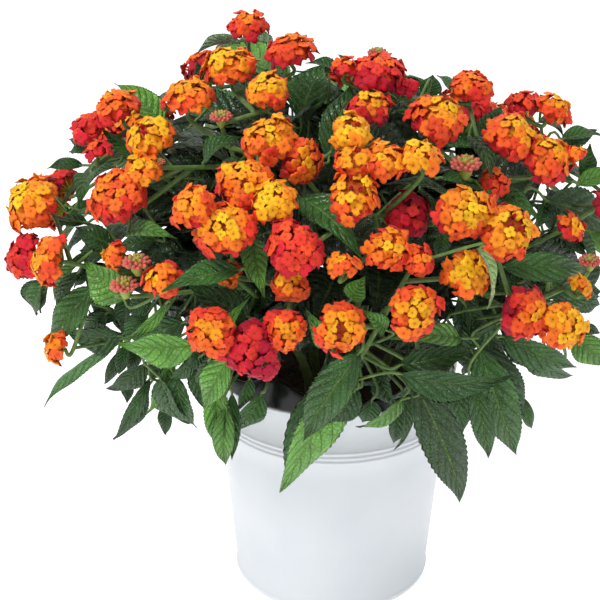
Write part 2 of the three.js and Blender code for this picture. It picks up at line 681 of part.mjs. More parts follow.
function pointAlong(points, share) {
  const place = share * (points.length - 1);
  const step = Math.min(Math.floor(place), points.length - 2);
  return points[step].clone().lerp(points[step + 1], place - step);
}

// The point of a shoot's stems, well short of the heads, that is nearest to a place. Points beyond it,
// as the function given measures that on the way from the place, count as further off.
function joinPoint(shoot, place, beyond) {
  let best = null;
  let bestCost = Infinity;
  shoot.stems.forEach(({ points }) => {
    for (let k = 0; k <= JOIN_SAMPLES; k += 1) {
      const point = pointAlong(points, (JOIN_REACH * k) / JOIN_SAMPLES);
      const cost = point.distanceTo(place) + JOIN_BEYOND * Math.max(0, beyond(point.clone().sub(place)));
      if (point.z < SOIL_CROWN + JOIN_ABOVE || cost >= bestCost) continue;
      best = point;
      bestCost = cost;
    }
  });
  return best;
}

// How far a way from a leaf's base runs outside the wedge behind it, in which the blade can draw out
// into its stalk.
function pastWedge(leaf, way) {
  const { along, side } = leafFrame(leaf.base, leaf.tip, leaf.turn);
  const [t, share] = LEAF_EDGE[0];
  const steepness = ((t - LEAF_NECK) * leaf.base.distanceTo(leaf.tip)) / (share * leaf.width / 2);
  return way.dot(along) + WEDGE_MARGIN * steepness * Math.abs(way.dot(side));
}

// Joins a leaf to its shoot. Where the blade can't draw out to the join, it gets a stalk of its own.
function joinLeaf(leaf, shoot) {
  const join = joinPoint(shoot, leaf.base, (way) => pastWedge(leaf, way));
  if (pastWedge(leaf, join.clone().sub(leaf.base)) < -STALK_CLEAR) {
    leaf.join = join;
    return;
  }
  const inside = midribPoint(leaf, STALK_INTO_BLADE);
  shoot.stalks.push({ points: [join, inside], radii: [BRANCH_ROOT_RADIUS, STALK_RADIUS], sides: 3 });
}

// Slides a leaf along the given way until its blade is clear of what is there already.
function placeLeaf(leaf, way, taken) {
  let best = null;
  for (const slide of LEAF_SLIDES) {
    const moved = { ...leaf, base: leaf.base.clone(), tip: leaf.tip.clone() };
    moved.base.addScaledVector(way, slide);
    moved.tip.addScaledVector(way, slide);
    const shoot = nearestShoot(moved.base);
    const solid = leafSolid(moved, 0);
    const crossed = taken
      .filter((other) => boxesMeet(solid, other))
      .reduce((sum, other) => sum + solid.intersect(other).volume(), 0);
    if (best === null || crossed < best.crossed - 0.5) best = { crossed, moved, shoot, solid };
    if (crossed < 0.5) break;
  }
  joinLeaf(best.moved, best.shoot);
  best.shoot.leaves.push(best.moved);
  taken.push(best.solid);
}

// ---------- laying out the bush ----------

function frontHeads() {
  const front = HEADS.map(([across, up, size, , middle, edge, shell]) => {
    const centre = onDome(across, up, shell / 100);
    return { centre, radius: size * nearness(centre), age: (middle + edge) / 2 };
  });
  TOUCHING.forEach(([first, second]) => {
    const still = front[first];
    const moved = front[second];
    const [across, up, size] = HEADS[second];
    const step = Math.sign(still.centre.y - moved.centre.y) * 2;
    const apart = () => moved.centre.distanceTo(still.centre) / (moved.radius + still.radius);
    while (apart() > HEADS_APART && (still.centre.y - moved.centre.y) * step > 0) {
      moved.centre = onDepth(across, up, moved.centre.y + step);
      moved.radius = size * nearness(moved.centre);
    }
    if (apart() > HEADS_APART) moved.centre.lerp(still.centre, 1 - HEADS_APART / apart());
  });
  front.forEach((head, index) => {
    head.facing = facingOf(HEADS[index][3], head.centre);
  });
  return front;
}

// Heads of the sides and the back stand in touching groups of three.
function backHeads() {
  const random = seededRandom(71);
  const heads = [];
  for (let k = 0; k < BACK_SPRAYS; k += 1) {
    const rise = BACK_RISES[k % BACK_RISES.length] + 10 * (random() - 0.5);
    const turn = BACK_FROM + BACK_STEP * k;
    const middle = domePoint(turn, rise, hiddenShell(turn, rise, SPRAY_REACH));
    const outward = domeNormal(middle);
    const level = UP.clone().cross(outward).normalize();
    const steep = outward.clone().cross(level);
    for (let j = 0; j < 3; j += 1) {
      const radius = 14.5 + 4 * random();
      const angle = (2 * Math.PI * (j + 0.5 * random())) / 3;
      const centre = middle.clone()
        .addScaledVector(level, SPRAY_SPREAD * Math.cos(angle))
        .addScaledVector(steep, SPRAY_SPREAD * Math.sin(angle));
      heads.push({ centre, radius, facing: facingOf('out', centre), age: 35 + 35 * random() });
    }
  }
  return heads;
}

function budHeads() {
  return BUDS.map(([across, up, radius]) => {
    const centre = onDome(across, up, 0.97);
    return { centre, radius: radius * nearness(centre), facing: facingOf('up', centre), fused: true };
  });
}

function frontLeaves() {
  return LEAVES.map(([a0, u0, a1, u1, width, turn, y0, y1]) => {
    const free = y0 === undefined;
    const base = free ? onDome(a0, u0, 0.84) : onDepth(a0, u0, y0);
    const tip = free ? onDome(a1, u1, 0.95) : onDepth(a1, u1, y1);
    return { base, tip, width: width * nearness(base), turn };
  });
}

const GOLDEN_ANGLE = 137.508;

// Leaves of the sides and the back, spread evenly by the golden angle.
function spreadLeaves() {
  const random = seededRandom(29);
  const leaves = [];
  for (let k = 0; k < SPREAD_LEAVES; k += 1) {
    const turn = SPREAD_FROM + ((GOLDEN_ANGLE * k) % SPREAD_ROUND);
    const rise = -40 + 115 * ((k + 0.5) / SPREAD_LEAVES);
    const slip = 8 * (random() - 0.5);
    const shell = hiddenShell(turn, rise, LEAF_REACH);
    const base = domePoint(turn + slip, rise + 8, shell - 0.21);
    const tip = domePoint(turn + slip + 16 * (random() - 0.5), rise - 10 - 6 * random(), shell);
    tip.z -= rise < 0 ? 22 * random() : 0;
    leaves.push({ base, tip, width: 28 + 12 * random(), turn: 30 * (random() - 0.5) });
  }
  return leaves;
}

// Heads that run into each other are one node.
function groupHeads(heads) {
  const groups = heads.map((head) => [head]);
  for (let i = 0; i < heads.length; i += 1) {
    for (let j = i + 1; j < heads.length; j += 1) {
      const apart = heads[i].centre.distanceTo(heads[j].centre);
      if (apart > 1.1 * (heads[i].radius + heads[j].radius)) continue;
      if (heads[i].solid.intersect(heads[j].solid).volume() < 1) continue;
      const first = groups.find((group) => group.includes(heads[i]));
      const second = groups.find((group) => group.includes(heads[j]));
      if (first === second) continue;
      first.push(...second);
      second.length = 0;
    }
  }
  return groups.filter((group) => group.length > 0);
}

// ---------- assembly ----------

shoots.forEach((shoot) => shoot.stems.push(mainStem(shoot)));

const heads = [...frontHeads(), ...backHeads()];
heads.forEach((head, index) => {
  head.index = index;
  head.solid = headSolid(head, 0);
  head.swollen = headSolid(head, GAP);
});

const headGroups = groupHeads(heads);
const buds = budHeads();
const tinyHeads = headGroups.filter((group) => group.length === 1 && group[0].radius < TINY_HEAD).flat();
tinyHeads.forEach((head) => {
  head.fused = true;
  nearestShoot(head.centre).ends.push(head);
});
buds.forEach((bud) => {
  bud.solid = budSolid(bud);
  nearestShoot(bud.centre).ends.push(bud);
});

// Branches grow from the stems that are there already, the nearest heads first.
const fromHub = ({ centre }) => centre.distanceTo(nearestShoot(centre).hub);
[...heads, ...buds].sort((a, b) => fromHub(a) - fromHub(b)).forEach((head) => {
  const shoot = nearestShoot(head.centre);
  shoot.stems.push(headBranch(shoot, head));
});

const taken = [
  ...heads.map((head) => head.solid),
  ...shoots.flatMap((shoot) => shoot.stems.map((stem) => tubeOf(stem, 0))),
];
frontLeaves().forEach((leaf) => placeLeaf(leaf, leaf.base.clone().sub(EYE).normalize(), taken));
spreadLeaves().forEach((leaf) => placeLeaf(leaf, domeNormal(leaf.base), taken));

const lantana = new THREE.Group();

function addNode(name, solid, colour, roughness, metalness = 0) {
  const material = new THREE.MeshStandardMaterial({ color: colour, roughness, metalness });
  const mesh = new THREE.Mesh(geometryFrom(solid), material);
  mesh.name = name;
  lantana.add(mesh);
}

function headColour(age) {
  return new THREE.Color(YOUNG_COLOUR).lerp(new THREE.Color(OLD_COLOUR), age / 100);
}

const mainStems = shoots.map((shoot) => tubeOf(shoot.stems[0], GAP));
addNode('planter', planterSolid(), PLANTER_COLOUR, 0.35, 0.2);
addNode('nursery_pot', nurseryPotSolid(), POT_COLOUR, 0.35);
addNode('soil', largestBody(cutBy(soilSolid(), mainStems)), SOIL_COLOUR, 0.95);

const blooms = headGroups.filter(([head]) => !head.fused);
blooms.forEach((group, number) => {
  const others = blooms.slice(0, number).flat().map((head) => head.swollen);
  const joined = wasm.Manifold.union(group.map((head) => head.solid));
  const age = group.reduce((sum, head) => sum + head.age, 0) / group.length;
  const bloom = largestBody(cutBy(joined, others));
  addNode(`bloom_${String(number + 1).padStart(2, '0')}`, bloom, headColour(age), 0.6);
});

const stemsOf = (shoot, swell) => [...shoot.stems, ...shoot.stalks].map((stem) => tubeOf(stem, swell));
const swollenStems = shoots.map((shoot) => stemsOf(shoot, GAP));
const swollenLeaves = shoots.map((shoot) => shoot.leaves.map((leaf) => leafSolid(leaf, GAP, leaf.join)));

shoots.forEach((shoot, number) => {
  const stems = wasm.Manifold.union([
    ...stemsOf(shoot, 0),
    ...shoot.ends.map((end) => end.solid),
  ]);
  const leafy = wasm.Manifold.union(shoot.leaves.map((leaf) => leafSolid(leaf, 0, leaf.join)));
  const otherHeads = heads.filter((head) => !shoot.ends.includes(head)).map((head) => head.swollen);
  const stemCutters = [...otherHeads, ...swollenStems.slice(0, number).flat()];
  const leafCutters = [
    ...otherHeads,
    ...swollenStems.filter((_, other) => other !== number).flat(),
    ...swollenLeaves.slice(0, number).flat(),
  ];
  const whole = cutBy(leafy, leafCutters).add(cutBy(stems, stemCutters));
  addNode(`leafy_stem_${String(number + 1).padStart(2, '0')}`, largestBody(whole), LEAF_COLOUR, 0.6);
});

export default lantana;
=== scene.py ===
"""A lantana in flower, in its nursery pot inside a white metal planter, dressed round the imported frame.

The bush is laid out in millimetres by the same rules as the solids, so each piece lies where its node is.
"""

import math
from dataclasses import dataclass

import bpy
import numpy as np
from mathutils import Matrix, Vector
from mathutils.kdtree import KDTree


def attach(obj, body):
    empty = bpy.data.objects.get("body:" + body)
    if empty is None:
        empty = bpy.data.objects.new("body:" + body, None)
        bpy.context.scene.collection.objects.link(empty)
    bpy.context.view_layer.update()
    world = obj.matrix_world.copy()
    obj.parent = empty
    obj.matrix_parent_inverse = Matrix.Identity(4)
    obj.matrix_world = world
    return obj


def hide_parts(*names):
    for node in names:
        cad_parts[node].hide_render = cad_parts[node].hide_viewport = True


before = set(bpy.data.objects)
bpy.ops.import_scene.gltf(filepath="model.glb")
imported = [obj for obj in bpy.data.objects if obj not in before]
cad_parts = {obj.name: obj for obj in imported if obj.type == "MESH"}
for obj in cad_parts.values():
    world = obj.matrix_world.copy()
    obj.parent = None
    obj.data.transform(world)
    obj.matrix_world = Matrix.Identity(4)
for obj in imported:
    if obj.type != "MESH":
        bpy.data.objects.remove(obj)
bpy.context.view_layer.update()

MM = 0.001

# ---------- layout, as in the solids (millimetres) ----------

GAP = 0.35

PLANTER_BASE_RADIUS = 75.3
PLANTER_FLARE = 0.0863
PLANTER_HEIGHT = 178
PLANTER_WALL = 1.6
PLANTER_FLOOR = 2.4
BEAD_TOP = 146.6
BEAD_PITCH = 3.9
BEAD_HEIGHT = 1.1
FOOT_BEAD = 6

POT_BASE_RADIUS = 66
POT_TOP_RADIUS = 84.5
POT_WALL = 1.6
POT_BOTTOM = 2.5
LIP_RADIUS = 94
LIP_HEIGHT = 10
FOLD_TURN = -27
FOLD_WIDTH = 13
FOLD_LIFT = 13
POT_FLOOR = PLANTER_FLOOR + GAP
LIP_UNDER = PLANTER_HEIGHT + GAP

SOIL_EDGE = 168
SOIL_CROWN = 174
ROOT_DEPTH = 24

DOME_CENTRE = Vector((-10, 5, 275))
DOME_ACROSS = 234
DOME_DEEP = 202
DOME_UP = 160
DOME_DOWN = 78
DEPTHS = range(-260, 161, 2)  # y at which a line of sight is tried, from the front of the bush backward

# turn round the pot from the front, rise of the hub, distance of the root
SHOOTS = [
    (-70, -2, 50), (-22, 0, 50), (14, -4, 50), (50, 2, 50), (90, 6, 50),
    (134, 8, 50), (180, 2, 50), (228, 8, 50),
    (-72, 38, 26), (-32, 40, 26), (8, 34, 26), (48, 38, 26), (130, 46, 26), (215, 46, 26),
]
HUB_SHELL = 0.5  # how far out the main stems end, where 1 is on the dome
STEM_RADIUS = 3.4
HUB_RADIUS = 2
BRANCH_RADIUS = 1.5
BRANCH_ROOT_RADIUS = 1.2
NECK_SHARE = 0.5
JOIN_ABOVE = 45
JOIN_REACH = 0.7
JOIN_SAMPLES = 10
JOIN_BEYOND = 40
WEDGE_MARGIN = 1.15
STEM_FROM = 14  # the main stems start to bend so far above the soil

LEAF_NECK = 0.02
LEAF_FOLD = 0.22
LEAF_ARCH = 0.1
LEAF_UPWARD = 0.55  # how far the upper sides turn from the dome's normal towards the sky
LEAF_FORWARD = 0.25  # and towards the front
LEAF_BASE_SHELL = 0.84
LEAF_TIP_SHELL = 0.95
SPREAD_LEAVES = 38
SPREAD_FROM = 82
SPREAD_ROUND = 192
SPREAD_LOW = -40
SPREAD_RISE = 115
GOLDEN_ANGLE = 137.508
LEAF_SLIDES = [0, -4, 4, -8, 8, -12, 12, -16, 16, -20, 20, -25, 25, -30, 30]
LEAF_EDGE = [(0.13, 0.74), (0.38, 1), (0.46, 0.84), (0.69, 0.7), (0.76, 0.48)]

HEAD_FLATNESS = 0.82
HEAD_FOOT = 0.45
HEAD_UPWARD = 0.25
BUD_SHELL = 0.97
BACK_SPRAYS = 11
BACK_FROM = 86
BACK_STEP = 18
BACK_RISES = [4, 44, 24]
BACK_RADIUS = 14.5
BACK_AGE = 35
# The top of the bush as the photo shows it, across and up from its middle; what stands at the
# sides and the back stays below it.
SKYLINE = [
    (-220, 60), (-187, 97), (-158, 134), (-129, 153), (-84, 156), (-70, 188), (-40, 206), (4, 190),
    (18, 179), (62, 179), (77, 165), (136, 162), (151, 151), (180, 148), (209, 128), (235, 100),
]
SPRAY_REACH = 24
LEAF_REACH = 12
LEAST_SHELL = 0.55
SPRAY_HEADS = 3
SPRAY_SPREAD = 13
HEADS_APART = 0.74  # of two that touch, to the sum of their radii

EYE = Vector((0, -968, 642))
EYE_TURN = math.radians(1.5)
EYE_DIP = math.radians(23.2)
EYE_REACH = 1032  # to the plane that the front is laid out on

# across, up, radius, way it faces, age of its middle and of its edge (0 yellow, 50 orange, 100 crimson),
# and how far out it stands (100 on the dome)
HEADS = [
    (-38, 200, 16, "up", 35, 80, 100), (-52, 170, 21, "out", 10, 60, 100),
    (-7, 181, 19, "up", 35, 88, 100), (-24, 153, 17, "out", 8, 60, 100),
    (-81, 148, 20, "up", 28, 55, 100), (-134, 140, 18, "upleft", 35, 62, 100),
    (-153, 125, 16, "upleft", 65, 85, 96), (-110, 119, 18, "out", 3, 45, 100),
    (-148, 109, 11, "up", 60, 90, 98), (-115, 95, 15, "out", 15, 52, 98),
    (-136, 73, 24, "out", 40, 78, 102), (-196, 70, 24, "out", 8, 55, 100),
    (-201, 31, 20, "left", 75, 82, 100), (-182, 29, 21, "left", 25, 60, 100),
    (-22, 118, 21, "out", 15, 62, 100), (5, 99, 18, "right", 30, 78, 100),
    (-40, 85, 23, "out", 18, 76, 100), (-83, 71, 18, "out", 30, 66, 100),
    (-20, 73, 18, "out", 5, 40, 102), (-54, 51, 23, "out", 4, 85, 102),
    (-4, 38, 23, "out", 66, 80, 102), (-7, 12, 15, "out", 30, 60, 90),
    (28, 171, 12, "up", 40, 92, 100), (58, 165, 22, "up", 55, 92, 100),
    (76, 156, 10, "up", 80, 95, 98), (51, 140, 17, "out", 20, 96, 98),
    (126, 155, 18, "up", 45, 62, 100), (101, 132, 23, "out", 14, 78, 100),
    (165, 144, 13, "up", 60, 78, 98), (192, 137, 16, "upright", 32, 60, 100),
    (154, 120, 21, "out", 18, 78, 100), (185, 100, 23, "out", 18, 82, 100),
    (37, 124, 16, "out", 0, 35, 98), (39, 102, 15, "out", 8, 55, 99),
    (69, 101, 17, "out", 20, 60, 98), (39, 76, 21, "out", 10, 66, 101),
    (100, 104, 18, "up", 18, 42, 100), (143, 86, 12, "out", 55, 66, 92),
    (79, 62, 19, "out", 86, 97, 88), (121, 64, 23, "out", 8, 66, 102),
    (160, 46, 23, "out", 4, 68, 102), (65, 37, 18, "out", 20, 80, 100),
    (91, 28, 13, "out", 40, 76, 90), (123, 20, 19, "out", 8, 50, 98),
    (32, 25, 13, "up", 35, 52, 102), (84, -8, 21, "out", 18, 82, 102),
    (30, -21, 20, "out", 8, 76, 103), (-73, -19, 21, "out", 24, 82, 102),
    (-35, -37, 23, "out", 85, 97, 101), (-12, -23, 17, "out", 30, 76, 99),
    (-101, 15, 15, "out", 24, 72, 96), (-135, 32, 12, "left", 30, 60, 93),
    (-178, -35, 13, "left", 35, 52, 100), (166, -10, 21, "out", 35, 97, 100),
    (201, -22, 19, "out", 14, 52, 100), (198, 54, 12, "out", 18, 82, 92),
    (223, 71, 10, "out", 85, 95, 100), (206, 10, 10, "upright", 20, 40, 96),
    (-52, 19, 10, "out", 30, 60, 88), (212, 110, 7, "up", 30, 60, 100),
]

# Pairs of rows of HEADS that touch: the second is moved along its line of sight until it meets the first.
TOUCHING = [
    (5, 6), (9, 10), (12, 13), (14, 15), (16, 18), (19, 17), (23, 22), (23, 24), (28, 29), (30, 31),
    (31, 59), (35, 33), (33, 32), (33, 34), (34, 36), (39, 40), (41, 42), (48, 47), (48, 49), (53, 54),
]

# across, up, radius
BUDS = [
    (57, 181, 7), (122, 99, 11), (-120, 27, 10), (-129, 10, 10),
    (-58, 134, 8), (213, 28, 8), (39, -57, 4), (-104, 101, 5),
]
FRUIT = 6  # the row of BUDS that is a young fruit

# across and up of the base and of the tip, width, turn about the midrib, y of the base and of the tip;
# without the last two the leaf stands on the dome
LEAVES = [
    (38, -48, -15, -145, 44, 0, -165, -134), (44, -38, 1, -105, 32, -35, -176, -160),
    (41, -65, 19, -92, 23, 0, -168, -162), (75, -73, 41, -94, 18, 0, -150, -128),
    (82, -57, 119, -153, 43, 15, -150, -118), (76, -71, 71, -112, 10, 40, -128, -118),
    (72, -54, 156, -57, 25, -10, -188, -176), (73, -48, 131, -34, 21, 10, -172, -168),
    (118, -28, 67, -28, 18, -20), (131, -34, 160, -116, 35, 0, -124, -98),
    (128, -62, 138, -118, 19, -20, -134, -112), (134, -32, 165, -88, 29, 10, -100, -80),
    (163, -71, 170, -95, 10, 0, -88, -70), (147, -26, 204, -50, 26, 10, -110, -80),
    (175, -18, 197, -46, 9, 50, -134, -110), (200, -24, 229, -47, 25, 0, -56, -40),
    (-138, -35, -187, -82, 15, 30, -66, -52), (-113, -65, -137, -104, 16, 20, -66, -58),
    (-95, -44, -113, -84, 18, 30, -96, -84), (-103, -60, -81, -91, 26, 0, -88, -74),
    (-98, -76, -99, -100, 12, 0, -64, -58), (-51, -41, -71, -80, 25, -30, -144, -128),
    (-62, -59, -57, -113, 21, 20, -112, -96), (-54, -79, -55, -124, 15, 0, -112, -98),
    (-37, -56, -46, -82, 13, 20, -116, -106), (-28, -68, -49, -97, 21, 0, -112, -98),
    (-76, -33, -134, -33, 32, 10, -160, -150), (-97, -1, -133, -31, 10, 60, -166, -150),
    (-131, -26, -174, -22, 26, 0, -104, -90), (-129, 0, -159, 29, 32, 0, -120, -112),
    (-151, 10, -185, -35, 26, 0, -112, -96), (-165, 26, -181, 0, 15, 0, -82, -74),
    (-190, 12, -195, -12, 20, 0, -66, -58), (-156, 57, -182, 56, 13, 0, -66, -60),
    (-154, 35, -172, 25, 7, 40, -112, -112), (-159, 99, -187, 97, 10, 20, -16, -6),
    (-100, 128, -136, 160, 22, 0, -16, -4), (-110, 123, -112, 147, 10, 20, -6, 10),
    (-44, 190, -78, 181, 15, -30, 16, 24), (-121, 106, -147, 127, 11, 40),
    (-153, 93, -163, 68, 16, 20), (-126, 49, -90, 45, 18, 4),
    (-44, 22, -101, 7, 24, -15), (-37, -13, -85, 13, 25, 0),
    (-34, 44, -26, 1, 21, 0), (-1, 76, 46, 32, 31, 10),
    (21, 104, 38, 160, 26, 0), (0, 134, 18, 173, 32, 0, -40, -10),
    (-42, 104, -66, 82, 12, 0), (-71, 101, -44, 121, 18, 0),
    (112, 75, 61, 87, 15, -20), (88, 82, 100, 53, 9, 30),
    (103, 90, 137, 79, 11, 0), (137, 81, 179, 57, 20, 0),
    (132, 38, 140, -7, 13, 35, -190, -178), (148, 24, 214, 22, 24, -10, -130, -84),
    (181, 73, 232, 44, 34, 0, -84, -50), (192, 118, 223, 121, 14, 0, -20, -6),
    (137, 110, 148, 143, 28, 0, -62, -36), (125, 120, 141, 90, 21, 0),
    (94, 149, 98, 166, 18, 0, 14, 24), (93, 157, 75, 165, 8, 0, 24, 30),
    (88, 148, 65, 138, 12, 0), (206, 91, 213, 115, 15, 0, -26, -10),
    (204, 85, 234, 91, 16, 0, -30, -14), (191, -1, 222, 3, 10, 20, -66, -40),
    (-125, -57, -127, -76, 10, 0, -54, -50), (-113, -46, -143, -67, 21, 0, -92, -80),
    (22, -33, 4, -6, 18, 0), (63, -22, 44, -7, 15, 0),
    (-71, 157, -76, 176, 10, 0, 6, 12), (-62, -38, -40, 0, 19, 0),
    (202, 51, 213, 28, 19, 0, -50, -40), (37, 0, 48, 18, 18, 0, -170, -170),
]
SWAYS = {0: 7, 4: -4, 9: 1, 10: -3, 16: 14, 17: 1, 22: 2}  # how far rows of LEAVES bow aside
WIDTHS = {0: 0.84, 4: 0.8, 23: 1.2, 54: 1.25}  # rows of LEAVES that are narrower or wider than their solid


# ---------- random draws ----------

def seeded_random(seed):
    mask = 0xFFFFFFFF
    state = seed

    def draw():
        nonlocal state
        state = (state + 0x6D2B79F5) & mask
        mixed = ((state ^ (state >> 15)) * (1 | state)) & mask
        mixed = ((mixed + (mixed ^ (mixed >> 7)) * (61 | mixed)) & mask) ^ mixed
        return (mixed ^ (mixed >> 14)) / 4294967296

    return draw


# ---------- places on the bush ----------

UP = Vector((0, 0, 1))


def eye_axes():
    """The directions right, up and ahead, as the eye sees them."""
    right = Vector((math.cos(EYE_TURN), math.sin(EYE_TURN), 0))
    ahead = Vector((
        -math.sin(EYE_TURN) * math.cos(EYE_DIP),
        math.cos(EYE_TURN) * math.cos(EYE_DIP),
        -math.sin(EYE_DIP),
    ))
    return right, right.cross(ahead), ahead


def sight_line(across, up):
    right, above, ahead = eye_axes()
    return ahead * EYE_REACH + right * across + above * up


def dome_tall(z):
    return DOME_UP if z > 0 else DOME_DOWN


def dome_level(point):
    offset = point - DOME_CENTRE
    tall = dome_tall(offset.z)
    return Vector((offset.x / DOME_ACROSS, offset.y / DOME_DEEP, offset.z / tall)).length


def dome_normal(point):
    offset = point - DOME_CENTRE
    tall = dome_tall(offset.z)
    return Vector((
        offset.x / DOME_ACROSS ** 2, offset.y / DOME_DEEP ** 2, offset.z / tall ** 2,
    )).normalized()


def on_depth(across, up, y):
    line = sight_line(across, up)
    return EYE + line * ((y - EYE.y) / line.y)


def on_dome(across, up, shell):
    """The point where a line of sight first meets the dome, or passes nearest to it."""
    best = None
    best_level = math.inf
    for y in DEPTHS:
        point = on_depth(across, up, y)
        level = dome_level(point)
        if level < best_level:
            best = point
            best_level = level
        if level <= shell:
            break
    return best


def nearness(point):
    return (point - EYE).dot(sight_line(0, 0)) / EYE_REACH ** 2


def dome_point(turn, rise, shell):
    around = math.radians(turn)
    lift = math.radians(rise)
    tall = dome_tall(rise)
    return Vector((
        DOME_CENTRE.x + shell * DOME_ACROSS * math.sin(around) * math.cos(lift),
        DOME_CENTRE.y - shell * DOME_DEEP * math.cos(around) * math.cos(lift),
        DOME_CENTRE.z + shell * tall * math.sin(lift),
    ))


def seen_at(point):
    """Where the eye sees a point, across and up on the plane that the front is laid out on."""
    offset = point - EYE
    right, above, ahead = eye_axes()
    scale = EYE_REACH / offset.dot(ahead)
    return scale * offset.dot(right), scale * offset.dot(above)


def skyline_at(across):
    return float(np.interp(across, *zip(*SKYLINE)))


def hidden_shell(turn, rise, reach):
    """How far out, up to 0.99, what reaches so high above its place stays below the skyline."""
    shell = 0.99
    while shell > LEAST_SHELL:
        across, up = seen_at(dome_point(turn, rise, shell))
        if up + reach <= skyline_at(across):
            break
        shell -= 0.01
    return shell


FACINGS = {
    "up": Vector((0, -0.1, 1)),
    "upleft": Vector((-0.45, -0.1, 1)),
    "upright": Vector((0.6, -0.1, 1)),
    "left": Vector((-1, -0.2, 0.25)),
    "right": Vector((0.7, -0.9, 0.1)),
}


def facing_of(name, centre):
    if name in FACINGS:
        return FACINGS[name].normalized()
    return (dome_normal(centre) + HEAD_UPWARD * UP).normalized()


# ---------- heads, leaves and stems of the layout ----------

@dataclass
class Head:
    centre: Vector
    radius: float
    facing: Vector
    middle: float = 0  # age in its middle
    edge: float = 0  # age at its edge
    node: str = ""  # that it is part of


def front_heads():
    rows = []
    for across, up, size, way, middle, edge, shell in HEADS:
        centre = on_dome(across, up, shell / 100)
        rows.append([centre, size * nearness(centre)])
    for first, second in TOUCHING:
        still = rows[first]
        moved = rows[second]
        across, up, size = HEADS[second][:3]
        step = math.copysign(2, still[0].y - moved[0].y)

        def apart():
            return (moved[0] - still[0]).length / (moved[1] + still[1])

        while apart() > HEADS_APART and (still[0].y - moved[0].y) * step > 0:
            moved[0] = on_depth(across, up, moved[0].y + step)
            moved[1] = size * nearness(moved[0])
        if apart() > HEADS_APART:
            moved[0] = moved[0].lerp(still[0], 1 - HEADS_APART / apart())
    return [
        Head(centre, radius, facing_of(row[3], centre), row[4], row[5])
        for (centre, radius), row in zip(rows, HEADS)
    ]


def back_heads():
    """Sprays of heads round the sides and the back."""
    draw = seeded_random(71)
    heads = []
    for k in range(BACK_SPRAYS):
        rise = BACK_RISES[k % len(BACK_RISES)] + 10 * (draw() - 0.5)
        turn = BACK_FROM + BACK_STEP * k
        middle = dome_point(turn, rise, hidden_shell(turn, rise, SPRAY_REACH))
        outward = dome_normal(middle)
        level = UP.cross(outward).normalized()
        steep = outward.cross(level)
        for j in range(SPRAY_HEADS):
            radius = BACK_RADIUS + 4 * draw()
            angle = 2 * math.pi * (j + 0.5 * draw()) / SPRAY_HEADS
            centre = middle + SPRAY_SPREAD * (math.cos(angle) * level + math.sin(angle) * steep)
            age = BACK_AGE + 35 * draw()
            heads.append(Head(centre, radius, facing_of("out", centre), age - 32, age + 28))
    return heads


def bud_heads():
    buds = []
    for across, up, radius in BUDS:
        centre = on_dome(across, up, BUD_SHELL)
        buds.append(Head(centre, radius * nearness(centre), facing_of("up", centre)))
    return buds


@dataclass
class Leaf:
    base: Vector
    tip: Vector
    width: float
    turn: float
    way: Vector  # direction in which it was slid clear of its neighbours
    sway: float = 0
    young_tint: np.ndarray = None

    def length(self):
        return (self.tip - self.base).length

    def axes(self):
        """The directions along the midrib, out of the upper side, and across."""
        along = (self.tip - self.base).normalized()
        outward = dome_normal(self.base.lerp(self.tip, 0.5)) + LEAF_UPWARD * UP
        outward.y -= LEAF_FORWARD
        normal = (outward - along * outward.dot(along)).normalized()
        side = normal.cross(along)
        angle = math.radians(self.turn)
        turned = normal * math.cos(angle) + side * math.sin(angle)
        return along, turned, turned.cross(along)

    def past_wedge(self, way):
        """How far a way from the base runs outside the wedge behind it, in which the stalk can leave."""
        along, _, side = self.axes()
        t, share = LEAF_EDGE[0]
        steepness = (t - LEAF_NECK) * self.length() / (share * self.width / 2)
        return way.dot(along) + WEDGE_MARGIN * steepness * abs(way.dot(side))

    def corners(self):
        """The corners of the leaf in the solids."""
        along, normal, side = self.axes()
        length = self.length()
        half = self.width / 2
        found = [self.tip]
        for t, share in LEAF_EDGE:
            lift = LEAF_ARCH * length * 4 * t * (1 - t) + LEAF_FOLD * half * share
            for sign in (1, -1):
                found.append(self.base + along * t * length + side * sign * share * half + normal * lift)
        return found


def leaf_of_row(row):
    across, up, tip_across, tip_up, width, turn, *depths = row
    if depths:
        base = on_depth(across, up, depths[0])
        tip = on_depth(tip_across, tip_up, depths[1])
    else:
        base = on_dome(across, up, LEAF_BASE_SHELL)
        tip = on_dome(tip_across, tip_up, LEAF_TIP_SHELL)
    return Leaf(base, tip, width * nearness(base), turn, (base - EYE).normalized())


def spread_leaves():
    """Leaves round the sides and the back."""
    draw = seeded_random(29)
    leaves = []
    for k in range(SPREAD_LEAVES):
        turn = SPREAD_FROM + (GOLDEN_ANGLE * k) % SPREAD_ROUND
        rise = SPREAD_LOW + SPREAD_RISE * ((k + 0.5) / SPREAD_LEAVES)
        slip = 8 * (draw() - 0.5)
        shell = hidden_shell(turn, rise, LEAF_REACH)
        base = dome_point(turn + slip, rise + 8, shell - 0.21)
        tip_turn = turn + slip + 16 * (draw() - 0.5)
        tip = dome_point(tip_turn, rise - 10 - 6 * draw(), shell)
        if rise < 0:
            tip.z -= 22 * draw()
        width = 28 + 12 * draw()
        leaves.append(Leaf(base, tip, width, 30 * (draw() - 0.5), dome_normal(base)))
    return leaves


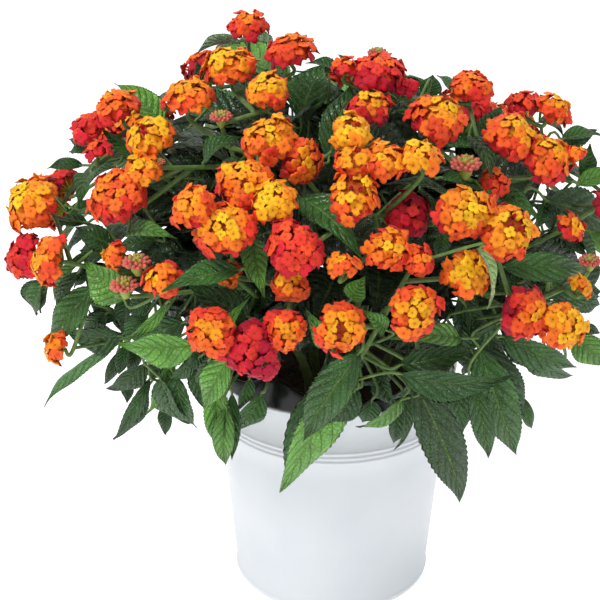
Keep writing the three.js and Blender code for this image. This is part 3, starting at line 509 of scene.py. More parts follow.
class Shoot:
    """A leafy stem: the main stem and its branches, each a list of points, and what hangs on them."""

    def __init__(self, number, turn, rise, root_radius):
        around = math.radians(turn)
        self.name = f"leafy_stem_{number:02d}"
        self.root = Vector((
            root_radius * math.sin(around),
            -root_radius * math.cos(around),
            SOIL_CROWN - ROOT_DEPTH,
        ))
        self.hub = dome_point(turn, rise, HUB_SHELL)
        self.stems = [self.main_stem()]
        self.leaves = []
        self.deep_leaves = []
        self.inner_leaves = []
        self.buds = []

    def main_stem(self):
        start = Vector((self.root.x, self.root.y, SOIL_CROWN + STEM_FROM))
        outward = (self.hub - Vector((0, 0, SOIL_CROWN))).normalized()
        control = self.hub - outward * 0.3 * (self.hub - start).length
        bow = [
            start.lerp(control, t).lerp(control.lerp(self.hub, t), t)
            for t in (0, 1 / 3, 2 / 3, 1)
        ]
        return [self.root, *bow]

    def join_point(self, place, beyond):
        """The point of the stems, well short of the heads, that is nearest to a place and not beyond it."""
        best = None
        best_cost = math.inf
        for points in self.stems:
            for k in range(JOIN_SAMPLES + 1):
                point = point_along(points, JOIN_REACH * k / JOIN_SAMPLES)
                cost = (point - place).length + JOIN_BEYOND * max(0, beyond(point - place))
                if point.z >= SOIL_CROWN + JOIN_ABOVE and cost < best_cost:
                    best = point
                    best_cost = cost
        return best


def point_along(points, share):
    place = share * (len(points) - 1)
    step = min(int(place), len(points) - 2)
    return points[step].lerp(points[step + 1], place - step)


shoots = [Shoot(number + 1, *row) for number, row in enumerate(SHOOTS)]


def nearest_shoot(point):
    return min(shoots, key=lambda shoot: (shoot.hub - point).length)


def branch_points(shoot, head, reach):
    foot = head.centre - head.facing * reach
    neck = foot - head.facing * NECK_SHARE * head.radius
    return [shoot.join_point(neck, lambda way: way.dot(head.facing)), neck, foot]


# ---------- which node each head and leaf belongs to ----------

def node_corners(prefix):
    """Corners of the nodes whose names start so, in millimetres, as a tree, with each corner's node."""
    owners = []
    corners = []
    for name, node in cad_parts.items():
        if name.startswith(prefix):
            for vertex in node.data.vertices:
                corners.append(vertex.co / MM)
                owners.append(name)
    tree = KDTree(len(corners))
    for i, corner in enumerate(corners):
        tree.insert(corner, i)
    tree.balance()
    return tree, owners


SAME_PLACE = 0.08  # corners of the layout and of the nodes closer than this are the same corner


def owner_of_head(head, tree, owners):
    """The node that holds most of the corners near the head, and its foot before all others."""
    foot = head.centre - head.facing * HEAD_FOOT * HEAD_FLATNESS * head.radius
    _, nearest, distance = tree.find(foot)
    if distance < SAME_PLACE:
        return owners[nearest]
    counts = {}
    for _, i, _ in tree.find_range(head.centre, 1.1 * head.radius):
        counts[owners[i]] = counts.get(owners[i], 0) + 1
    return max(counts, key=counts.get)


def slide_leaf(leaf, tree):
    """Moves the leaf as far along its way as its node shows that it went."""
    corners = leaf.corners()

    def matches(slide):
        return sum(tree.find(corner + leaf.way * slide)[2] < SAME_PLACE for corner in corners)

    move = leaf.way * max(LEAF_SLIDES, key=matches)
    leaf.base = leaf.base + move
    leaf.tip = leaf.tip + move


# ---------- colours ----------

def linear(red, green, blue):
    """A colour as Blender mixes it, from its values on a screen, 0 to 255."""
    return np.array([
        c / 12.92 if c <= 0.04045 else ((c + 0.055) / 1.055) ** 2.4
        for c in (red / 255, green / 255, blue / 255)
    ])


AGE_TINTS = [
    (0, linear(255, 206, 32)),
    (22, linear(255, 184, 26)),
    (38, linear(255, 140, 30)),
    (54, linear(250, 98, 36)),
    (70, linear(235, 60, 42)),
    (85, linear(212, 24, 50)),
    (100, linear(168, 6, 50)),
]
EYE_TINT = linear(196, 70, 8)
TUBE_TINT = linear(240, 120, 60)
CALYX_TINT = linear(150, 168, 60)
BUD_TINT = linear(132, 14, 26)
YOUNG_BUD_TINT = linear(206, 86, 84)
FRUIT_TINT = linear(150, 160, 40)
STEM_TINT = linear(84, 120, 50)
WOOD_TINT = linear(88, 92, 52)
LEAF_TINTS = [linear(36, 76, 31), linear(52, 103, 38), linear(96, 154, 56)]
YOUNG_TINTS = {  # of the rows of LEAVES that are young
    16: linear(84, 138, 70), 38: linear(104, 160, 96), 44: linear(96, 150, 58), 54: linear(158, 196, 118),
}
UNDER_TINT = linear(112, 142, 96)
# Near-black green of the leaves deep in the bush: painted shade.
INNER_SHADE_TINT = linear(22, 46, 22)


def age_tint(age):
    age = min(max(age, 0), 100)
    for (low, tint), (high, next_tint) in zip(AGE_TINTS, AGE_TINTS[1:]):
        if age <= high:
            return tint + (next_tint - tint) * (age - low) / (high - low)
    return AGE_TINTS[-1][1]


# ---------- meshes ----------

LEAF_TOP, LEAF_UNDER, STEM = 0, 1, 2  # the materials of the foliage, by their place in its list
ASLANT = [0.31, 0.9, 0.22]  # a direction that no stem or head follows


class Skin:
    """Points and faces of one piece, with a tint and a place on the blade for each point."""

    def __init__(self):
        self.points = []
        self.tints = []
        self.places = []
        self.faces = []
        self.kinds = []
        self.count = 0

    def add(self, points, faces, tints, kind=0, places=None):
        number = len(points)
        self.points.append(points)
        self.tints.append(np.broadcast_to(tints, (number, 3)))
        self.places.append(np.zeros((number, 2)) if places is None else places)
        self.faces.extend((face + self.count).tolist() for face in faces)
        self.kinds.extend([kind] * len(faces) if isinstance(kind, int) else kind)
        self.count += number

    def build(self, name, materials, node):
        """Makes the piece, which takes the place of the node."""
        mesh = bpy.data.meshes.new(name)
        mesh.from_pydata(np.vstack(self.points) * MM, [], self.faces)
        tint = mesh.color_attributes.new("tint", "FLOAT_COLOR", "POINT")
        tints = np.hstack([np.vstack(self.tints), np.ones((self.count, 1))])
        tint.data.foreach_set("color", tints.ravel())
        corners = np.zeros(len(mesh.loops), dtype=np.int32)
        mesh.loops.foreach_get("vertex_index", corners)
        places = mesh.uv_layers.new(name="blade")
        places.data.foreach_set("uv", np.vstack(self.places)[corners].ravel())
        mesh.polygons.foreach_set("material_index", self.kinds)
        mesh.polygons.foreach_set("use_smooth", np.ones(len(mesh.polygons), dtype=bool))
        for material in materials:
            mesh.materials.append(material)
        mesh.validate()
        piece = bpy.data.objects.new(name, mesh)
        bpy.context.scene.collection.objects.link(piece)
        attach(piece, "root")
        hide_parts(node)


def grid_faces(rows, columns, wrap=False):
    """Quads of a grid of points; wrap closes each row on itself."""
    row, column = np.meshgrid(np.arange(rows - 1), np.arange(columns - (not wrap)), indexing="ij")
    next_column = (column + 1) % columns
    corners = [row * columns + column, row * columns + next_column,
               (row + 1) * columns + next_column, (row + 1) * columns + column]
    return np.stack(corners, axis=-1).reshape(-1, 4)


def fan_faces(centre, first, sides, flip=False):
    """Triangles from a point to the ring of points that starts at first."""
    k = np.arange(sides)
    faces = np.stack([np.full(sides, centre), first + k, first + (k + 1) % sides], axis=-1)
    return faces[:, ::-1] if flip else faces


def closed_faces(rings, sides):
    """Faces of a row of rings, closed at its start and end by the two points that follow the rings."""
    return [
        *grid_faces(rings, sides, wrap=True),
        *fan_faces(rings * sides, 0, sides, flip=True),
        *fan_faces(rings * sides + 1, (rings - 1) * sides, sides),
    ]


def unit(vector):
    return vector / np.linalg.norm(vector)


def basis(forward, spin=0.0):
    """Two directions at right angles to forward, turned about it."""
    side = unit(np.cross(ASLANT, forward))
    third = np.cross(forward, side)
    return (side * math.cos(spin) + third * math.sin(spin),
            third * math.cos(spin) - side * math.sin(spin))


def circle(sides):
    return np.arange(sides) * 2 * math.pi / sides


def spokes(angles, side=(1, 0, 0), third=(0, 1, 0)):
    """The directions at these angles, from the first direction towards the second."""
    return np.outer(np.cos(angles), side) + np.outer(np.sin(angles), third)


def smooth_path(points, steps):
    """A rounded line through the points, with so many steps between each two."""
    points = np.array([list(p) for p in points])
    padded = np.vstack([2 * points[0] - points[1], points, 2 * points[-1] - points[-2]])
    path = [points[0]]
    for i in range(1, len(padded) - 2):
        before, start, end, after = padded[i - 1:i + 3]
        for k in range(1, steps + 1):
            t = k / steps
            path.append(0.5 * (
                2 * start + (end - before) * t
                + (2 * before - 5 * start + 4 * end - after) * t ** 2
                + (3 * start - before - 3 * end + after) * t ** 3
            ))
    return np.array(path)


def add_tube(skin, path, radii, sides, tints, kind=0):
    """A closed tube along a path, with a radius and a tint at each of its points."""
    path = np.asarray(path)
    along = np.gradient(path, axis=0)
    side = unit(np.cross(ASLANT, along[0]))
    rings = []
    for point, way, radius in zip(path, along, radii):
        way = unit(way)
        side = unit(side - way * side.dot(way))
        rings.append(point + radius * spokes(circle(sides), side, np.cross(way, side)))
    ring_tints = np.repeat(np.broadcast_to(tints, (len(path), 3)), sides, axis=0)
    points = np.vstack([*rings, path[:1], path[-1:]])
    all_tints = np.vstack([ring_tints, ring_tints[:1], ring_tints[-1:]])
    skin.add(points, closed_faces(len(path), sides), all_tints, kind)


# ---------- florets, buds and heads ----------

FLORET_SIZE = 5.3
FLORETS_PER_AREA = 0.128  # to the square of the head's radius
FLORET_CAP = math.radians(104)
LOBE_ANGLES = [0, 0.29, 0.5, 0.71]  # shares of a lobe where its outline has a point, from its crest
LOBE_MIDDLE = 0.54  # each lobe is a circle this far from the eye
LOBE_ROUND = 0.46
CLOSED_CENTRES = {7, 32, 33, 35, 40, 46}  # heads whose middle is still in bud
CLOSED_CAP = 0.42  # radians from the middle of such a head
GREEN_CAP = 0.7  # radians from the middle of a young head, where its buds are still green
SEEN_TUBES = 0.9  # radians from the middle of a head, beyond which its tubes show
CALYX_LEAVES = 7
KNOB_RINGS = [(-0.5, 0.3), (-0.25, 0.85), (0.1, 1), (0.36, 0.6)]  # level along it, and how wide
CORE_RINGS = [(0.1, -0.42), (0.4, -0.2), (0.64, 0.06), (0.6, 0.33), (0.34, 0.55)]  # how wide, and level
CORE_SIDES = 11


def floret_rings(lobes, draw):
    """Angles round a floret, how near each is to a crest, and the reach and level of its four rings."""
    angles = (np.arange(lobes)[:, None] + LOBE_ANGLES).ravel() * 2 * math.pi / lobes
    turns = angles * lobes / (2 * math.pi)
    lobe = np.round(turns).astype(int) % lobes
    off_crest = (turns + 0.5) % 1 - 0.5  # -0.5 and 0.5 are the notches
    lean = off_crest * 2 * math.pi / lobes
    crest = np.cos(math.pi * off_crest)
    lengths = np.array([0.88 + 0.24 * draw() for _ in range(lobes)])
    tilts = np.array([0.7 * (draw() - 0.56) for _ in range(lobes)])[lobe] * crest
    bulge = np.sqrt(np.maximum(LOBE_ROUND ** 2 - (LOBE_MIDDLE * np.sin(lean)) ** 2, 0.02))
    outline = (LOBE_MIDDLE * np.cos(lean) + bulge) * lengths[lobe]
    edge_level = -0.05 + tilts + 0.07 * np.cos(2 * lobes * angles + 6 * draw())
    return angles, crest, [
        (np.full(len(angles), 0.15), np.full(len(angles), 0.05)),
        (0.3 + 0.3 * outline, 0.08 - 0.14 * crest ** 2 + 0.35 * tilts),
        (outline, edge_level),
        (0.8 * outline, edge_level - 0.09),
    ]


def add_floret(skin, place, outward, size, root, age, draw, outer):
    """A trumpet with round lobes, its tube running down to the foot of the head."""
    lobes = 5 if draw() < 0.3 else 4
    angles, crest, rings = floret_rings(lobes, draw)
    sides = len(angles)
    around = spokes(angles, *basis(outward, 2 * math.pi * draw()))
    points = [place + size * (r[:, None] * around + np.outer(z, outward)) for r, z in rings]
    eye = place - 0.06 * size * outward
    throat = place - 0.45 * size * outward
    tint = age_tint(age) * (0.88 + 0.24 * draw())
    # Painted shade and highlight: each lobe is darker towards the notches beside it and lighter at its
    # crest, with a small whitish lift on the rim as painted highlight; the underside of the rim, the middle
    # of the eye where the tube opens, and the point below the floret are darker as painted shade. The ring
    # round the eye mixes in the eye's own colour.
    tints = np.vstack([
        np.tile(tint * 0.62 + EYE_TINT * 0.2, (sides, 1)),
        tint * (0.88 + 0.1 * crest[:, None]),
        tint * (0.9 + 0.16 * crest[:, None]) + 0.012,
        np.tile(tint * 0.7, (sides, 1)),
        EYE_TINT * 0.3,
        TUBE_TINT * 0.6,
    ])
    faces = [face[::-1] for face in closed_faces(len(rings), sides)]
    skin.add(np.vstack([*points, eye, throat]), faces, tints)
    add_floret_tube(skin, throat, outward, size, root, tint, outer)


def add_floret_tube(skin, throat, outward, size, root, tint, outer):
    """The tube below a floret, bent and rounder on those near the head's edge, where it is seen."""
    path = [throat + 0.15 * size * outward, 0.6 * throat + 0.4 * root, root]
    tints = np.vstack([tint * 0.8, TUBE_TINT * 0.8, CALYX_TINT])
    if outer:
        path[1] = path[1] + 0.1 * np.linalg.norm(throat - root) * outward
        add_tube(skin, path, [0.17 * size, 0.12 * size, 0.1 * size], 5, tints)
    else:
        add_tube(skin, path[::2], [0.16 * size, 0.1 * size], 3, tints[::2])


def add_knob(skin, centre, axis, radius, length, tint, sides=7, kind=0):
    """A small closed drop, pointed at its outer end."""
    around = spokes(circle(sides), *basis(axis))
    rings = [centre + level * length * axis + share * radius * around for level, share in KNOB_RINGS]
    points = np.vstack([*rings, centre - 0.55 * length * axis, centre + 0.5 * length * axis])
    skin.add(points, closed_faces(len(rings), sides), tint, kind)


def head_frame(head):
    """The centre and the facing of a head, and the turn from an upright head to it."""
    facing = np.array(head.facing)
    return np.array(head.centre), facing, np.column_stack([*basis(facing), facing])


def head_ways(count, cap, spin):
    """Directions spread evenly over a cap, from its middle outward, with the share of each."""
    for k in range(count):
        share = (k + 0.5) / count
        polar = math.acos(1 - share * (1 - math.cos(cap)))
        around = math.radians(GOLDEN_ANGLE) * k + spin
        yield share, polar, np.array([
            math.sin(polar) * math.cos(around), math.sin(polar) * math.sin(around), math.cos(polar),
        ])


def shake(draw):
    return np.array([draw() - 0.5, draw() - 0.5, draw() - 0.5])


def add_core(skin, head, turn, draw):
    """The massed tubes and calyces in the middle of a head, which close the view through it, tinted darker
    than the florets as painted shade in the gaps between them.
    """
    tall = HEAD_FLATNESS * head.radius
    rings = []
    for wide, level in CORE_RINGS:
        lumpy = head.radius * wide * np.array([0.85 + 0.3 * draw() for _ in range(CORE_SIDES)])
        rings.append(lumpy[:, None] * spokes(circle(CORE_SIDES)) + [0, 0, level * tall])
    points = np.vstack([*rings, [0, 0, -0.45 * tall], [0, 0, 0.6 * tall]])
    # The tubes are tinted at half their colour and the calyces at the foot at half their green: painted
    # shade in the gaps between the florets and under the head.
    shaded_core_tint = 0.5 * age_tint(max(48, head.middle + 25))
    ring_tints = np.vstack([CALYX_TINT * 0.5, shaded_core_tint + CALYX_TINT * 0.1, shaded_core_tint, shaded_core_tint, shaded_core_tint])
    tints = np.vstack([np.repeat(ring_tints, CORE_SIDES, axis=0), CALYX_TINT * 0.5, shaded_core_tint])
    skin.add(np.array(head.centre) + points @ turn.T, closed_faces(len(rings), CORE_SIDES), tints)


def add_head(skin, head, index):
    """An uneven dome of florets, older towards its edge, over a ring of small calyx leaves."""
    draw = seeded_random(500 + index)
    centre, facing, turn = head_frame(head)
    foot = centre - facing * HEAD_FOOT * HEAD_FLATNESS * head.radius
    count = max(9, round(FLORETS_PER_AREA * head.radius ** 2))
    full = FLORET_SIZE * min(1, 0.55 + head.radius / 30)
    bends = [(k, 0.04 + 0.06 * draw(), 2 * math.pi * draw()) for k in (2, 3, 5)]
    add_core(skin, head, turn, draw)
    for share, polar, way in head_ways(count, FLORET_CAP, 6 * draw()):
        around = math.atan2(way[1], way[0])
        uneven = sum(height * math.sin(k * around + start) for k, height, start in bends)
        bumpy = head.radius * (0.75 + 0.17 * draw() + uneven * math.sin(polar))
        place = centre + bumpy * (turn @ (way * [1, 1, HEAD_FLATNESS]))
        outward = unit(turn @ (way * [1, 1, 1 / HEAD_FLATNESS]) + 0.3 * facing)
        outward = unit(outward + 0.7 * shake(draw))
        if index in CLOSED_CENTRES and polar < CLOSED_CAP:
            for _ in range(2):
                bud = place + 0.1 * head.radius * shake(draw) - 0.8 * outward
                add_knob(skin, bud, outward, 1.3, 4.2, BUD_TINT * (0.6 + draw()))
            continue
        root = foot + 0.12 * head.radius * (turn @ (way * [1, 1, 0.2]))
        size = full * (0.78 + 0.22 * min(1, 2.2 * share) + 0.2 * (draw() - 0.5))
        age = head.middle - 7 + (head.edge - head.middle + 11) * share ** 0.7 + 30 * (draw() - 0.4)
        add_floret(skin, place, outward, size, root, age, draw, outer=polar > SEEN_TUBES)
    for k in range(CALYX_LEAVES):
        angle = 2 * math.pi * (k + 0.4 * draw()) / CALYX_LEAVES
        way = unit(turn @ [math.cos(angle), math.sin(angle), 0.35])
        add_knob(skin, foot + 1.6 * way, way, 0.9, 5.5, CALYX_TINT, sides=5)


def add_bud_head(skin, head, index):
    """A head of closed buds, or a fruit of small round ones."""
    draw = seeded_random(900 + index)
    centre, facing, turn = head_frame(head)
    fruit = index == FRUIT
    count, cap, flatness, lean, length = (40, 170, 1, 0, 0.4) if fruit else (34, 95, 0.55, 0.5, 0.62)
    for _, polar, way in head_ways(count, math.radians(cap), 0):
        place = centre + head.radius * 0.85 * (turn @ (way * [1, 1, HEAD_FLATNESS * flatness]))
        outward = unit(turn @ way + lean * facing)
        if fruit:
            tint = FRUIT_TINT
        else:
            tint = YOUNG_BUD_TINT + (CALYX_TINT - YOUNG_BUD_TINT) * (polar < GREEN_CAP) * 0.7
        tint = tint * (0.8 + 0.4 * draw())
        add_knob(skin, place, outward, 0.17 * head.radius, length * head.radius, tint, kind=STEM)
    middle = centre - 0.5 * facing * HEAD_FOOT * head.radius
    add_knob(skin, middle, facing, 0.5 * head.radius, 1.6 * head.radius, CALYX_TINT, kind=STEM)


# ---------- leaves and stems ----------

LEAF_ROWS = 46  # two to a tooth
LEAF_COLUMNS = 5  # a side
TOOTH_DEPTH = 0.07
BLADE_OUTLINE = [
    (0, 0), (0.04, 0.3), (0.1, 0.6), (0.18, 0.84), (0.27, 0.97), (0.36, 1), (0.47, 0.94),
    (0.58, 0.78), (0.69, 0.56), (0.79, 0.35), (0.87, 0.19), (0.94, 0.08), (1, 0),
]
BLADE_THICKNESS = 0.45
SIDE_VEINS = 8
VEIN_LEAN = 0.15
VEIN_BOW = 0.09
QUILT_HEIGHT = 1.9
MIDRIB_DEPTH = 0.7
EDGE_WAVE = 0.09
TIP_DROOP = 0.06
EDGE_CURL = 0.5
MIDRIB_BEND = 0.12
# How much lighter the upper side is at the blade's margin, as a painted highlight.
EDGE_HIGHLIGHT = 0.45
INNER_LEAVES = 230
INNER_LOW = -42
INNER_RISE = 122
STALK_RADIUS = 1.15
STALK_TIP_RADIUS = 0.8


def blade_width(t):
    """Half width of the blade along its midrib, to its greatest."""
    return np.interp(t, *zip(*BLADE_OUTLINE))


def vein_field(t, share):
    """Grows by one from each side vein to the next; veins run outward and towards the tip."""
    return (t - VEIN_LEAN * np.abs(share) - VEIN_BOW * share ** 2) * SIDE_VEINS


def blade_sides(leaf, t, share, draw):
    """Points of the upper and the under side, at shares along the midrib and across from it."""
    length = leaf.length()
    half = leaf.width / 2
    at_edge = np.abs(share) == 1
    wide = blade_width(t)
    across = share * wide * (1 - TOOTH_DEPTH * at_edge * (np.arange(len(t))[:, None] % 2))
    cell = vein_field(t, share) % 1
    inside = np.sin(np.pi * np.abs(share)) ** 0.7
    quilt = QUILT_HEIGHT * (4 * cell * (1 - cell)) ** 0.8 * inside * wide * half / 18
    groove = -MIDRIB_DEPTH * np.exp(-(share / 0.12) ** 2) * (1 - t)
    wave = EDGE_WAVE * half * share ** 2 * np.sin(2 * np.pi * (1.8 * t + draw() + 0.25 * np.sign(share)))
    droop = -TIP_DROOP * length * (t ** 3) * draw()
    curl_height = EDGE_CURL * draw() ** 2 * half
    curled_edge = 1 if draw() < 0.5 else -1
    curl = curl_height * np.maximum(0, share * curled_edge) ** 3 * wide
    fold = LEAF_ARCH * length * 4 * t * (1 - t) + LEAF_FOLD * half * np.abs(across)
    bend = MIDRIB_BEND * length * (draw() - 0.5) * (t ** 2 - t)
    along, normal, side = (np.array(axis) for axis in leaf.axes())
    aside = np.array((leaf.base - EYE).cross(leaf.tip - leaf.base).normalized())
    top = (
        np.array(leaf.base)
        + (t * length)[..., None] * along
        + (across * half + bend)[..., None] * side
        + (fold + wave + droop + curl + quilt + groove)[..., None] * normal
        + (leaf.sway * 4 * (t - t ** 2))[..., None] * aside
    )
    thin = BLADE_THICKNESS * np.sqrt(1 - share ** 2) + 1.3 * np.exp(-(share / 0.1) ** 2) * (1 - t) ** 0.7
    return top, top - np.where(at_edge, 0, thin)[..., None] * normal


def add_leaf(skin, leaf, tint, draw, rows=LEAF_ROWS, half_columns=LEAF_COLUMNS):
    """A closed thin blade with a toothed edge, a groove along the midrib and a swelling between veins."""
    t = np.linspace(0, 1, rows + 1)[:, None]
    share = np.linspace(-1, 1, 2 * half_columns + 1)[None, :]
    top, under = blade_sides(leaf, t, share, draw)
    t, share = (values.ravel() for values in np.broadcast_arrays(t, share))
    number = len(t)
    upper = grid_faces(rows + 1, 2 * half_columns + 1)
    lower = np.where((np.abs(share) == 1)[upper], upper, upper + number)
    # The upper side is lightened towards the margin: a painted highlight.
    highlighted_margin = 1 + EDGE_HIGHLIGHT * share[:, None] ** 6
    under_tint = UNDER_TINT * (tint / LEAF_TINTS[1]) ** 0.4
    skin.add(
        np.vstack([top.reshape(-1, 3), under.reshape(-1, 3)]),
        [*upper[:, ::-1], *lower],
        np.vstack([tint * highlighted_margin, np.tile(under_tint, (number, 1))]),
        [LEAF_TOP] * len(upper) + [LEAF_UNDER] * len(lower),
        np.tile(np.column_stack([0.5 + 0.5 * share, t]), (2, 1)),
    )


def stem_tints(count, tint, root_tint):
    """Tints from the root to the tip of a stem."""
    share = np.linspace(0, 1, count)[:, None]
    return root_tint + (tint - root_tint) * share


def add_stalk(skin, leaf, join, tint, steps=5, sides=6):
    """The leaf's stalk, which leaves the stem and bends into the midrib."""
    along, normal, _ = leaf.axes()
    base = leaf.base
    run = base - join
    reach = 0.07 * run.length + 0.28 * max(0, along.dot(run))
    into = leaf.base + along * 3 + normal * 0.6
    path = smooth_path([join, base - along * reach, base, into], steps)
    radii = np.linspace(STALK_RADIUS, STALK_TIP_RADIUS, len(path))
    add_tube(skin, path, radii, sides, stem_tints(len(path), STEM_TINT * 1.05, tint), STEM)


def add_stems(skin, main, *branches):
    """The main stem with its knuckles, and the branches that bear the heads."""
    path = smooth_path(main, 8)
    knuckles = 1 + 0.12 * np.maximum(0, np.cos(np.linspace(0, 8 * math.pi, len(path)))) ** 6
    radii = np.linspace(STEM_RADIUS, HUB_RADIUS, len(path)) * knuckles
    add_tube(skin, path, radii, 9, stem_tints(len(path), STEM_TINT * 0.9, WOOD_TINT), STEM)
    for points in branches:
        path = smooth_path(points, 7)
        radii = np.linspace(BRANCH_RADIUS + 0.2, BRANCH_ROOT_RADIUS, len(path))
        add_tube(skin, path, radii, 7, stem_tints(len(path), STEM_TINT * 1.15, STEM_TINT * 0.8), STEM)


def blade_tint(leaf, draw):
    tint = LEAF_TINTS[int(3 * draw())] * (0.8 + 0.4 * draw())
    if leaf.young_tint is None:
        return tint
    return leaf.young_tint * (0.9 + 0.2 * draw())


def dress_shoot(shoot, number):
    """The finer piece of a leafy stem; the deeper its leaves, the plainer they are, and the darker they and
    their stalks are painted, as painted shade inside the bush.
    """
    draw = seeded_random(300 + number)
    skin = Skin()

    def hang(leaf, tint, stalk_tint, blade=(), stalk=()):
        add_leaf(skin, leaf, tint, draw, *blade)
        add_stalk(skin, leaf, shoot.join_point(leaf.base, leaf.past_wedge), stalk_tint, *stalk)

    add_stems(skin, *shoot.stems)
    for leaf in shoot.leaves:
        hang(leaf, blade_tint(leaf, draw), STEM_TINT * 0.8)
    # Deeper leaves take the darkest green and the innermost a near-black green, with stalks darker at the
    # stem: painted shade inside the bush.
    for leaf in shoot.deep_leaves:
        hang(leaf, LEAF_TINTS[0] * (0.9 + 0.9 * draw()), STEM_TINT * 0.5, (24, 4), (3,))
    for leaf in shoot.inner_leaves:
        hang(leaf, INNER_SHADE_TINT * (0.7 + 0.6 * draw()), STEM_TINT * 0.4, (12, 2), (2, 4))
    for head, index in shoot.buds:
        add_bud_head(skin, head, index)
    materials = [leaf_top_material, leaf_under_material, stem_material]
    skin.build(f"foliage_{number:02d}", materials, shoot.name)


def inner_leaves():
    """Leaves deep in the bush, which close the view through it."""
    draw = seeded_random(47)
    leaves = []
    for k in range(INNER_LEAVES):
        turn = GOLDEN_ANGLE * k
        rise = INNER_LOW + INNER_RISE * ((k + 0.5) / INNER_LEAVES) ** 1.3
        depth = 0.5 * draw()
        shell = min(0.56 + 0.55 * depth, hidden_shell(turn, rise, LEAF_REACH))
        base = dome_point(turn, rise, shell - 0.36 + 0.45 * depth)
        tip = dome_point(turn + 40 * (draw() - 0.5), rise - 16 * draw(), shell)
        leaves.append(Leaf(base, tip, 36 + 18 * draw(), 80 * (draw() - 0.5), dome_normal(base)))
    return leaves


# Rows like those of LEAVES, for leaves behind them, which the solids leave out.
DEEP_LEAVES = [
    (-132, -26, -156, -8, 12, 0, -90, -80), (-134, -38, -144, -63, 10, 20, -80, -66),
    (-76, -43, -97, -59, 12, 0, -120, -104), (-76, -44, -69, -81, 18, 10, -110, -96),
    (-56, -37, -78, -63, 19, -10, -130, -112), (-131, -23, -134, 1, 11, 0, -90, -80),
    (-109, 1, -127, -10, 16, 10, -120, -110), (-84, -16, -128, -28, 26, 0, -130, -110),
    (-162, 21, -181, -9, 13, 10, -90, -76), (-133, -13, -156, 3, 18, 0, -90, -80),
    (-118, -33, -126, -53, 13, 0, -80, -70), (-99, -38, -110, -59, 15, 0, -90, -80),
    (-138, 40, -166, 54, 19, 0, -90, -76), (-140, 34, -163, 37, 15, 0, -96, -80),
    (121, -3, 134, -37, 18, 0, -120, -100), (147, -16, 112, -32, 18, 0, -120, -110),
    (114, -22, 125, -53, 16, 0, -110, -96), (149, -21, 173, -52, 18, 0, -100, -84),
    (173, 7, 214, 6, 18, 10, -90, -70), (184, -1, 219, 2, 13, 0, -80, -60),
    (112, -53, 120, -100, 19, 0, -96, -84), (182, 82, 186, 51, 16, 0, -60, -70),
    (192, 110, 219, 126, 15, 0, -20, 0), (13, -62, -12, -134, 31, -10, -128, -112),
    (42, -65, 18, -91, 22, 0, -140, -128), (75, -44, 38, -63, 22, 0, -90, -110),
    (57, -50, 75, -82, 24, 0, -96, -112), (22, -35, 7, -68, 22, 0, -90, -110),
    (92, -48, 59, -75, 21, 0, -90, -104), (44, -33, 26, -59, 22, 0, -80, -96),
    (103, -37, 84, -62, 21, 0, -80, -96), (-103, -57, -79, -91, 25, 0, -104, -92),
    (-50, -68, -50, -119, 13, 10, -112, -100), (73, -77, 69, -107, 15, 0, -120, -108),
    (53, -73, 46, -91, 18, 0, -120, -112), (119, 7, 116, -29, 22, 0, -110, -100),
    (131, -22, 151, -38, 16, 0, -104, -92), (173, 70, 185, 46, 15, 0, -60, -56),
    (162, -37, 201, -56, 19, 0, -90, -60), (191, 46, 212, 28, 15, 0, -50, -40),
    (197, 3, 220, -4, 19, 0, -70, -50), (176, 132, 195, 120, 13, 0, -20, -4),
    (13, 159, -3, 169, 12, 0, 0, 14), (16, 162, 24, 178, 10, 0, 0, 16),
    (-151, 113, -170, 118, 16, 0, -20, -6), (-136, 99, -156, 84, 12, 0, -40, -30),
    (-154, 53, -172, 32, 13, 0, -60, -50), (-104, 44, -134, 37, 19, 0, -96, -80),
    (-126, 3, -129, -22, 15, 0, -100, -90), (-141, -9, -159, -22, 16, 0, -90, -76),
    (-191, 15, -194, -11, 19, 0, -50, -46), (-110, -57, -137, -104, 12, 0, -80, -62),
    (-38, -13, -73, 18, 22, 0, -150, -140), (106, 51, 100, 31, 15, 0, -150, -146),
    (126, -37, 122, -3, 19, 0, -120, -112), (-91, -56, -76, -94, 22, 0, -108, -96),
    (-185, 13, -191, -10, 15, 0, -56, -50), (-153, 110, -170, 109, 16, 0, -24, -10),
    (29, 167, 4, 175, 12, 0, 0, 10), (37, 167, 28, 181, 9, 0, 0, 10),
    (112, 153, 101, 166, 12, 0, -20, 0), (180, 73, 169, 50, 19, 0, -70, -64),
    (185, 90, 206, 84, 12, 0, -40, -30), (202, 44, 219, 28, 16, 0, -50, -40),
    (198, 7, 222, 6, 18, 0, -50, -40), (202, -16, 221, -25, 13, 0, -56, -46),
    (128, -37, 118, -56, 19, 0, -112, -104), (-151, 22, -167, 9, 13, 0, -80, -72),
    (-113, -9, -129, -31, 15, 0, -112, -100), (163, 13, 142, 6, 15, 0, -120, -116),
    (-126, -32, -134, -56, 12, 0, -84, -76), (-69, -37, -84, -50, 15, 0, -124, -116),
]


# ---------- planter, nursery pot and soil ----------

LATHE_SIDES = 144


def lathe_piece(name, profile, material, node, bend=None):
    """A closed piece round the axis; its profile, of radius and height, starts and ends on the axis."""
    around = spokes(circle(LATHE_SIDES))
    rings = [radius * around + [0, 0, z] for radius, z in profile[1:-1]]
    points = np.vstack([*rings, [0, 0, profile[0][1]], [0, 0, profile[-1][1]]])
    if bend is not None:
        points = bend(points)
    skin = Skin()
    skin.add(points, closed_faces(len(rings), LATHE_SIDES), np.ones(3))
    skin.build(name, [material], node)


def arc(centre_r, centre_z, radius, start, end, steps):
    """Points of an arc in the profile; angles in degrees from outward, towards up."""
    return [
        (centre_r + radius * math.cos(math.radians(a)), centre_z + radius * math.sin(math.radians(a)))
        for a in np.linspace(start, end, steps)
    ]


def wall_radius(z):
    return PLANTER_BASE_RADIUS + PLANTER_FLARE * z


